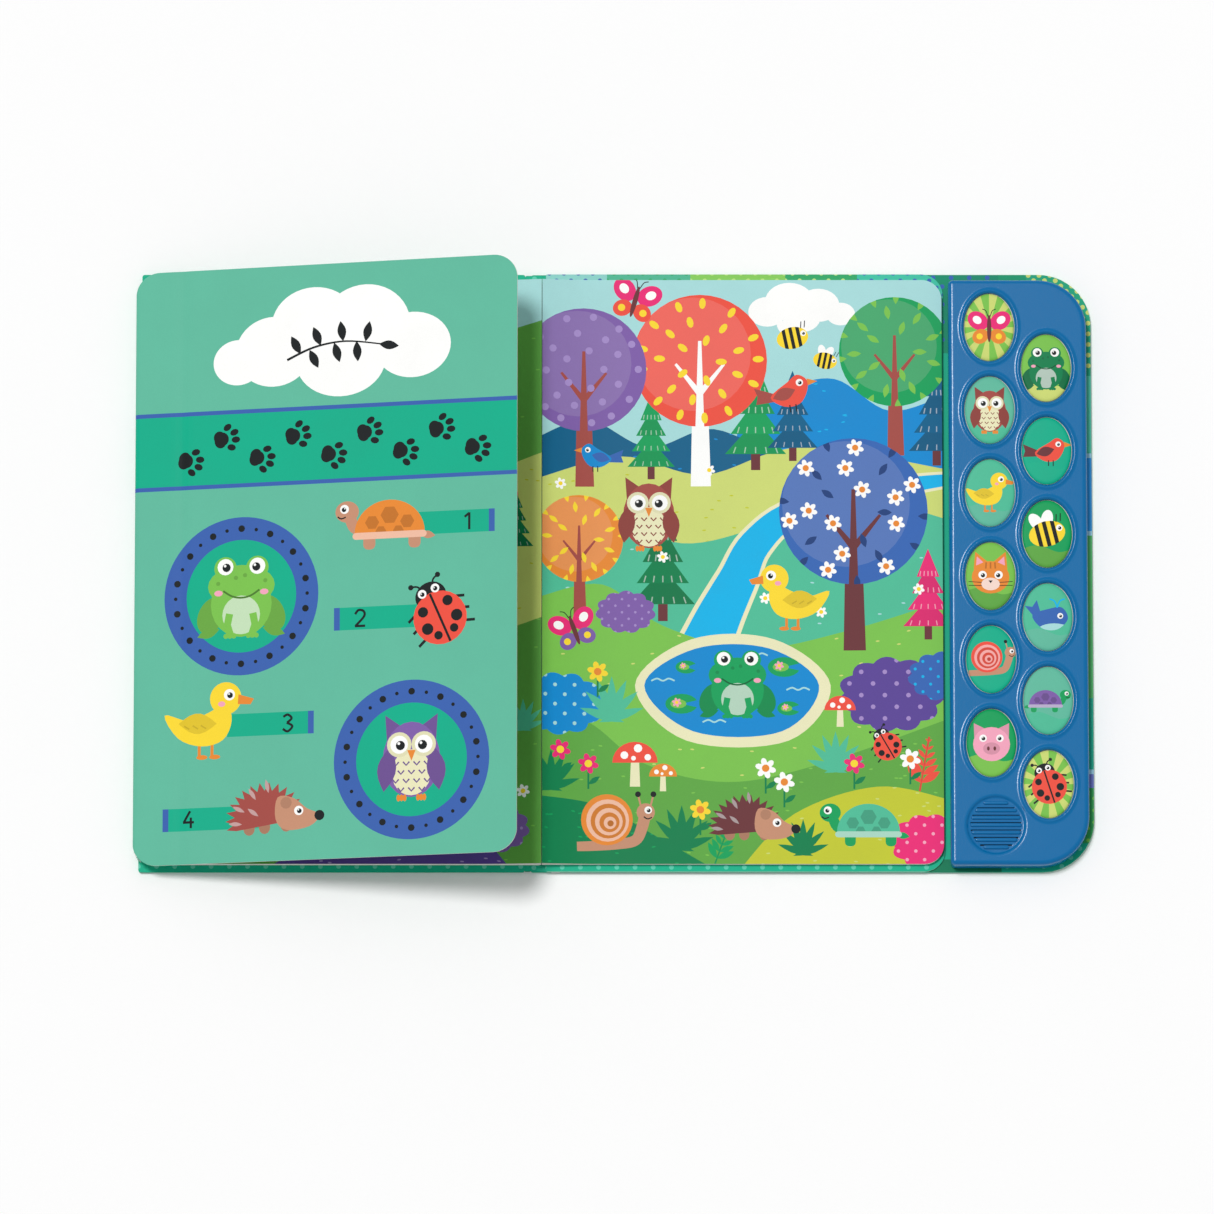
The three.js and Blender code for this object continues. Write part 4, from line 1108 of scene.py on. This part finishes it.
# Sound works: battery box and base moulded in black plastic, a green circuit board with its
# chip, a moulded rubber mat of domes, a small speaker and three steel button cells.
for nodes, name, code, looks in (
    (["module_base", "battery_door"], "base_plastic", "1E2022",
     dict(roughness=0.55, mottle=0.08, patch=20, grain=0.05, grain_size=0.5)),
    (["sound_chip"], "chip_resin", "17181A", dict(roughness=0.4, mottle=0.1, patch=4, grain_size=0.2)),
    (["circuit_board"], "board_lacquer", "1E6B3C",
     dict(roughness=0.3, mottle=0.16, patch=6, coat=0.4, second=screen("2F8A50"), stretch=(1, 5, 1))),
    (["contact_mat"], "dome_rubber", "B9BEC2",
     dict(roughness=0.7, mottle=0.05, patch=9, grain_size=0.3)),
    (["speaker_cone"], "cone_paper", "26272A",
     dict(roughness=0.85, mottle=0.14, patch=3, grain=0.08, grain_size=0.3)),
    (["speaker_frame", "speaker_magnet", "button_cell_1", "button_cell_2", "button_cell_3"],
     "plated_steel", "B9BCBF",
     dict(roughness=0.28, mottle=0.06, patch=5, metallic=1.0, grain=0.01, grain_size=0.15,
          stretch=(1, 8, 1))),
    (["battery_contact_upper", "battery_contact_lower"], "spring_brass", "C9A868",
     dict(roughness=0.3, mottle=0.08, patch=4, metallic=1.0, stretch=(6, 1, 1))),
    (["battery_door_screw"] + [f"housing_screw_{k}" for k in (1, 2, 3, 4)], "screw_steel", "8E9194",
     dict(roughness=0.32, mottle=0.1, patch=1.5, metallic=1.0, grain_size=0.1)),
):
    dress(nodes, finish(name, screen(code), **looks))

# Picture buttons: crowned ovals of plastic with a printed picture. Each fills its window, with
# a flange behind the housing's face, and is pressed down to just above its rubber dome.
WINDOW_X = (192.7, 217.1)
FIRST_WINDOW_Y = (105.6, 87.7)
WINDOW_PITCH = 36.3
WINDOW_HALF = (10.95, 14.95)
BUTTON_GAP = 0.3
BUTTON_FACE = 11.25
BUTTON_HALF = (WINDOW_HALF[0] - BUTTON_GAP, WINDOW_HALF[1] - BUTTON_GAP)
FLANGE_TOP, FLANGE_FOOT = 10.2, 9.5
FLANGE_WIDTH = 1.3
CROWN_RISE, RIM_DROP, RIM_START, RIM_SHARE = 0.2, 0.42, 0.84, 0.16
places = [(WINDOW_X[i // 6], FIRST_WINDOW_Y[i // 6] - WINDOW_PITCH * (i % 6)) for i in range(12)]


def sunburst(art, tone, other):
    patch(art, -12, -16, 12, 16, tone)
    for i in range(12):
        a, b = math.tau * i / 12, math.tau * (i + 0.5) / 12
        paint(art, [(0, 0), (24 * math.cos(a), 24 * math.sin(a)),
            (24 * math.cos(b), 24 * math.sin(b))], other)


def meadow(art, tone, ground):
    patch(art, -12, -16, 12, 16, tone)
    crest = [(-12, -7), (-4, -5), (5, -8), (12, -6)]
    paint(art, [(-12, -16), (12, -16)] + flowing(crest)[::-1], ground)


def cat(put, fur):
    for side in (-1, 1):
        put([(side * 8.4, 4), (side * 7.6, 13), (side * 1.6, 8)], fur)
        put([(side * 7.2, 6), (side * 6.8, 10.6), (side * 3.6, 7.6)], "pink")
    put(oval(0, 0, 9.4, 8.2), fur)
    for x in (-2.4, 0, 2.4):
        put(stroke([(x, 4.4), (x * 0.9, 7.6)], 0.8), shade(fur, 0.6))
    put(oval(0, -3.4, 4.6, 3.2), shade(fur, 1.6))
    for side in (-1, 1):
        eye(put, side * 4, 1.2, 0.95, -side * 0.2)
        for y in (-2.6, -4.2):
            put(stroke([(side * 4.4, y), (side * 11, y * 1.2 + 1)], 0.35), "black")
    put([(-1.1, -1.6), (1.1, -1.6), (0, -3)], "black")


def pig(put):
    for side in (-1, 1):
        put([(side * 8.6, 3), (side * 8.8, 10.6), (side * 2.8, 7.6)], shade("pink", 0.8))
    put(oval(0, 0, 9.2, 8.6), "pink")
    put(oval(0, -2.2, 4.2, 3.1), shade("pink", 0.75))
    for side in (-1, 1):
        put(oval(side * 1.6, -2.2, 0.7, 1.1, count=10), "dark brown")
        eye(put, side * 4.2, 3, 0.85, -side * 0.2)


def whale(put):
    put([(-8, 0), (-13, 6), (-9, 5.4), (-6.6, 9), (-4.6, 2)], "blue")
    body = put(flowing([(-9, 1), (-4, -6), (4, -6.6), (9.6, -1), (6.6, 5), (0, 4.4)], 5, True), "blue")
    put(oval(2.4, -7.4, 9, 4), "sky", body)
    for side in (-1, 1):
        put(stroke(flowing([(4, 5), (4 + side * 1.4, 8.4), (4 + side * 4, 9.6)]), 0.8), "water")
    eye(put, 5.6, 0.6, 0.7)


def button_face(x, y):
    """The crown of a button: domed, and rounded down at its rim."""
    out = min((x / BUTTON_HALF[0]) ** 2 + (y / BUTTON_HALF[1]) ** 2, 1)
    fall = max(0.0, (out - RIM_START) / RIM_SHARE)
    return BUTTON_FACE + CROWN_RISE * (1 - out) - RIM_DROP * fall**2


button_pictures = (
    (sunburst, "meadow", "grass", butterfly, (0, -0.6, 0.86), ("magenta", "orange")),
    (meadow, "panel", "teal", owl, (0, -0.6, 0.86), ("brown", "cream")),
    (meadow, "teal", "panel", duck, (-1, 0, 0.78), ("yellow",)),
    (meadow, "grass", "page green", cat, (0, -0.6, 0.86), ("orange",)),
    (meadow, "band", "case", snail, (-0.6, 0, 0.82), ("red", "tan")),
    (meadow, "green", "grass", pig, (0, -0.6, 0.86), ()),
    (meadow, "grass", "meadow", frog, (0, -0.6, 0.86), ("deep green",)),
    (meadow, "band", "case", bird, (0.8, 0, 0.84), ("red", "dark brown")),
    (meadow, "green", "page green", bee, (0, 0, 0.92, 14), ()),
    (meadow, "teal", "panel", whale, (0.8, 0, 0.82), ()),
    (meadow, "panel", "teal", turtle, (-1.2, 0, 0.68), ("purple", "green")),
    (sunburst, "grass", "meadow", ladybird, (0, -0.4, 0.86, 18), ("red",)),
)


def button_picture(ground, tone, other, motif, place, inks):
    """The print of one button: a motif before its ground."""
    art = []
    ground(art, tone, other)
    motif(pen(art, *place), *inks)
    return art


button_print = finish(
    "button_print", roughness=0.5, mottle=0.03, patch=14, grain=0.012, specular=0.15, attribute="ink"
)
button_plastic = finish("button_plastic", screen("E9ECEA"), roughness=0.45, mottle=0.04, patch=8)
crown_shares = (0.3, 0.6, 0.8, 0.9, 0.95, 0.98)
crown_rings = [oval(0, 0, BUTTON_HALF[0] * s, BUTTON_HALF[1] * s, count=44) for s in crown_shares]
for i, (x, y) in enumerate(places):
    name = f"picture_{i + 1:02d}"
    face = own(
        name,
        printed_mesh(
            name,
            oval(0, 0, *BUTTON_HALF, count=72),
            button_picture(*button_pictures[i]),
            rings=crown_rings,
            surface=lambda u, v, x=x, y=y: (x + u, y + v, button_face(u, v)),
        ),
    )
    face.data.materials.append(button_print)
    face.data.materials.append(button_plastic)
    bpy.ops.object.mode_set(mode="EDIT")
    bpy.ops.mesh.select_all(action="SELECT")
    bpy.ops.mesh.region_to_loop()
    rim_height = button_face(BUTTON_HALF[0], 0)
    wide = (BUTTON_HALF[0] + FLANGE_WIDTH) / BUTTON_HALF[0]
    centre = (x * mm, y * mm, 0)
    for drop, grow in (
        (FLANGE_TOP - rim_height, 1), (0, wide), (FLANGE_FOOT - FLANGE_TOP, 1), (0, 0.9 / wide),
        (0, 0.02)
    ):
        bpy.ops.mesh.extrude_region_move(TRANSFORM_OT_translate={"value": (0, 0, drop * mm)})
        if grow != 1:
            bpy.ops.transform.resize(value=(grow, grow, 1), center_override=centre)
    bpy.ops.mesh.merge(type="CENTER")
    bpy.ops.object.mode_set(mode="OBJECT")
    for polygon in face.data.polygons:
        if polygon.normal.z < 0.3 or polygon.center.z < (FLANGE_TOP + 0.1) * mm:
            polygon.material_index = 1
    bpy.ops.object.shade_smooth_by_angle(angle=math.radians(35))
    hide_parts(f"picture_button_{i + 1:02d}")
    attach(face, f"button_{i + 1:02d}")

# Module housing: one thin moulding in blue plastic with a fine grain. Its edge is rounded, each
# window has a raised lip, and the speaker's grille is a shallow dish with rounded slats.
FACE = 12.0
FACE_UNDER = 10.5
HOUSING_FOOT = 2.0
WALL = 1.5
EDGE_ROUND = 1.8
GRILLE = (194.4, -111.6)
GRILLE_RADIUS = 12.4
GRILLE_FLOOR, RIDGE_TOP = 11.1, 11.9
BAR_PITCH, BAR_REACH = 3.2, 11.0
RIDGE_HALF, SLOT_HALF, SLOT_SHIFT = 0.75, 0.32, 0.6
MODULE_SIDES = (175.1, -128.8, 234.4, 126.4)
MODULE_CORNERS = (2, 21, 21, 2)


def housing_loop(inset):
    """The housing's outline, moved inward."""
    left, low, right, high = MODULE_SIDES
    corners = [max(r - inset, 0.15) for r in MODULE_CORNERS]
    return rounded(left + inset, low + inset, right - inset, high - inset, corners, 14)


def bar_loop(y, half_width, grow):
    """A long rounded shape across the grille, for a ridge or for the slot beside it."""
    half = math.sqrt(BAR_REACH**2 - y**2)
    low, high = GRILLE[1] + y - half_width - grow, GRILLE[1] + y + half_width + grow
    return rounded(GRILLE[0] - half - grow, low, GRILLE[0] + half + grow, high,
        (half_width + grow,) * 4, 5)


def window_loop(place, grow):
    return oval(*place, WINDOW_HALF[0] + grow, WINDOW_HALF[1] + grow, count=72)


housing_points, housing_faces = [], []


def skin(loops):
    """Joins loops of like count, each given with its height, by a band of faces."""
    start = len(housing_points)
    count = len(loops[0][0])
    for points, z in loops:
        housing_points.extend((px * mm, py * mm, z * mm) for px, py in points)
    for level in range(len(loops) - 1):
        for k in range(count):
            a, b = start + level * count + k, start + level * count + (k + 1) % count
            housing_faces.append((a, b, b + count, a + count))


def flat(outline, holes, z, down=False):
    """Fills the flat between an outline and its holes."""
    sheet = [(points, None, None) for points in holes]
    mesh = printed_mesh("flat", outline, sheet)
    start = len(housing_points)
    housing_points.extend((v.co.x, v.co.y, z * mm) for v in mesh.vertices)
    for polygon in mesh.polygons:
        cell = [start + v for v in polygon.vertices]
        housing_faces.append(cell[::-1] if down else cell)
    bpy.data.meshes.remove(mesh)


edge_turn = [(EDGE_ROUND * (1 - math.cos(a)), FACE - EDGE_ROUND * (1 - math.sin(a)))
             for a in (math.pi / 2 * k / 8 for k in range(9))]
walls = [(WALL, FACE_UNDER), (WALL, HOUSING_FOOT), (0, HOUSING_FOOT)]
walls += edge_turn + [(EDGE_ROUND + 0.5, FACE)]
skin([(housing_loop(inset), z) for inset, z in walls])
lip = ((2.9, 12.0), (2.5, 12.0), (2.1, 12.08), (1.7, 12.26), (1.4, 12.42), (1.15, 12.46), (0.9, 12.38),
       (0.6, 12.16), (0.3, 11.86), (0.06, 11.55), (0, 11.2), (0, 10.5))
for place in places:
    skin([(window_loop(place, grow), z) for grow, z in lip])
dish = ((1.4, 12.0), (0.9, 12.0), (0.5, 11.93), (0.1, 11.66), (-0.2, 11.3), (-0.5, 11.12), (-0.8, 11.1))
skin([(oval(*GRILLE, GRILLE_RADIUS + grow, count=80), z) for grow, z in dish])
ridge = ((0.22, 11.1), (0.02, 11.1), (-0.04, 11.5), (-0.16, 11.78), (-0.36, 11.9))
slot_edge = ((0.2, 11.1), (0.02, 11.08), (0, 10.9), (0, 10.5))
ridges = [BAR_PITCH * k for k in (-3, -2, -1, 0, 1, 2, 3)]
slots = [BAR_PITCH * k - SLOT_SHIFT for k in (-2.5, -1.5, -0.5, 0.5, 1.5, 2.5)]
for y in ridges:
    skin([(bar_loop(y, RIDGE_HALF, grow), z) for grow, z in ridge])
    flat(bar_loop(y, RIDGE_HALF, ridge[-1][0]), [], RIDGE_TOP)
for y in slots:
    skin([(bar_loop(y, SLOT_HALF, grow), z) for grow, z in slot_edge])
openings = [window_loop(place, lip[0][0]) for place in places]
openings.append(oval(*GRILLE, GRILLE_RADIUS + dish[0][0], count=80))
flat(housing_loop(EDGE_ROUND + 0.5), openings, FACE)
grille_bars = [bar_loop(y, RIDGE_HALF, ridge[0][0]) for y in ridges]
grille_bars += [bar_loop(y, SLOT_HALF, slot_edge[0][0]) for y in slots]
flat(oval(*GRILLE, GRILLE_RADIUS + dish[-1][0], count=80), grille_bars, GRILLE_FLOOR)
under = [window_loop(place, 0) for place in places] + [bar_loop(y, SLOT_HALF, 0) for y in slots]
flat(housing_loop(WALL), under, FACE_UNDER, down=True)
housing_mesh = bpy.data.meshes.new("housing")
housing_mesh.from_pydata(housing_points, [], housing_faces)
housing = own("housing", housing_mesh)
bpy.ops.object.mode_set(mode="EDIT")
bpy.ops.mesh.select_all(action="SELECT")
bpy.ops.mesh.remove_doubles(threshold=0.004 * mm)
bpy.ops.mesh.normals_make_consistent(inside=False)
bpy.ops.object.mode_set(mode="OBJECT")
bpy.ops.object.shade_smooth_by_angle(angle=math.radians(40))
housing.data.materials.append(
    finish("module_plastic", screen("006FAC"), roughness=0.18, roughness_play=0.03, mottle=0.02,
           patch=60, grain=0.024, grain_size=0.55, specular=0.28, second=screen("0066A0"))
)
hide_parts("module_housing")
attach(housing, "case_back")

# Table and light: a plain pale floor under the open book, one soft lamp to the upper left, a
# weak glow for the sheen of the plastic, and an even sky. The view looks down steeply.
FLOOR_REACH, FLOOR_DROP = 2, 0.0002
SKY_STRENGTH = 0.43
LAMP_ANGLE, LAMP_ENERGY = 12, 1.82
SHEEN_SIZE, SHEEN_ENERGY = 0.5, 0.45
VIEW_RISE, VIEW_DISTANCE, VIEW_WIDTH = 80, 5.0, 0.522
FILM_WIDTH = 36
floor_mesh = bpy.data.meshes.new("floor")
corner_signs = ((-1, -1), (1, -1), (1, 1), (-1, 1))
floor_corners = [(x * FLOOR_REACH, y * FLOOR_REACH, -FLOOR_DROP) for x, y in corner_signs]
floor_mesh.from_pydata(floor_corners, [], [(0, 1, 2, 3)])
floor = own("floor", floor_mesh)
floor.data.materials.append(finish("floor", screen("FFFFFF"),
    roughness=0.9, mottle=0.002, second=screen("FDFDFD")))

world = bpy.data.worlds.new("even_sky")
bpy.context.scene.world = world
world.use_nodes = True
world.node_tree.nodes["Background"].inputs["Color"].default_value = (1, 1, 1, 1)
world.node_tree.nodes["Background"].inputs["Strength"].default_value = SKY_STRENGTH

lamp = bpy.data.objects.new("lamp", bpy.data.lights.new("lamp", "SUN"))
lamp.data.angle = math.radians(LAMP_ANGLE)
lamp.data.energy = LAMP_ENERGY
lamp.location = (-0.36, 0.36, 1.6)
lamp.rotation_euler = (-lamp.location).to_track_quat("-Z", "Y").to_euler()
bpy.context.scene.collection.objects.link(lamp)

sheen = bpy.data.objects.new("sheen", bpy.data.lights.new("sheen", "AREA"))
sheen.data.shape = "DISK"
sheen.data.size = SHEEN_SIZE
sheen.data.energy = SHEEN_ENERGY
sheen.location = (0.12, 0.56, 1.5)
sheen.rotation_euler = (Vector((0.2, 0.1, 0)) - sheen.location).to_track_quat("-Z", "Y").to_euler()
bpy.context.scene.collection.objects.link(sheen)

view = bpy.data.objects.new("view", bpy.data.cameras.new("view"))
middle = Vector((0.028, -0.0152, 0.002))
rise = math.radians(VIEW_RISE)
view.location = middle + VIEW_DISTANCE * Vector((0, -math.cos(rise), math.sin(rise)))
view.rotation_euler = (math.pi / 2 - rise, 0, 0)
view.data.sensor_width = FILM_WIDTH
view.data.lens = FILM_WIDTH * VIEW_DISTANCE / VIEW_WIDTH
view.data.clip_end = 20
bpy.context.scene.collection.objects.link(view)
bpy.context.scene.camera = view

bpy.context.scene.view_settings.view_transform = "Standard"
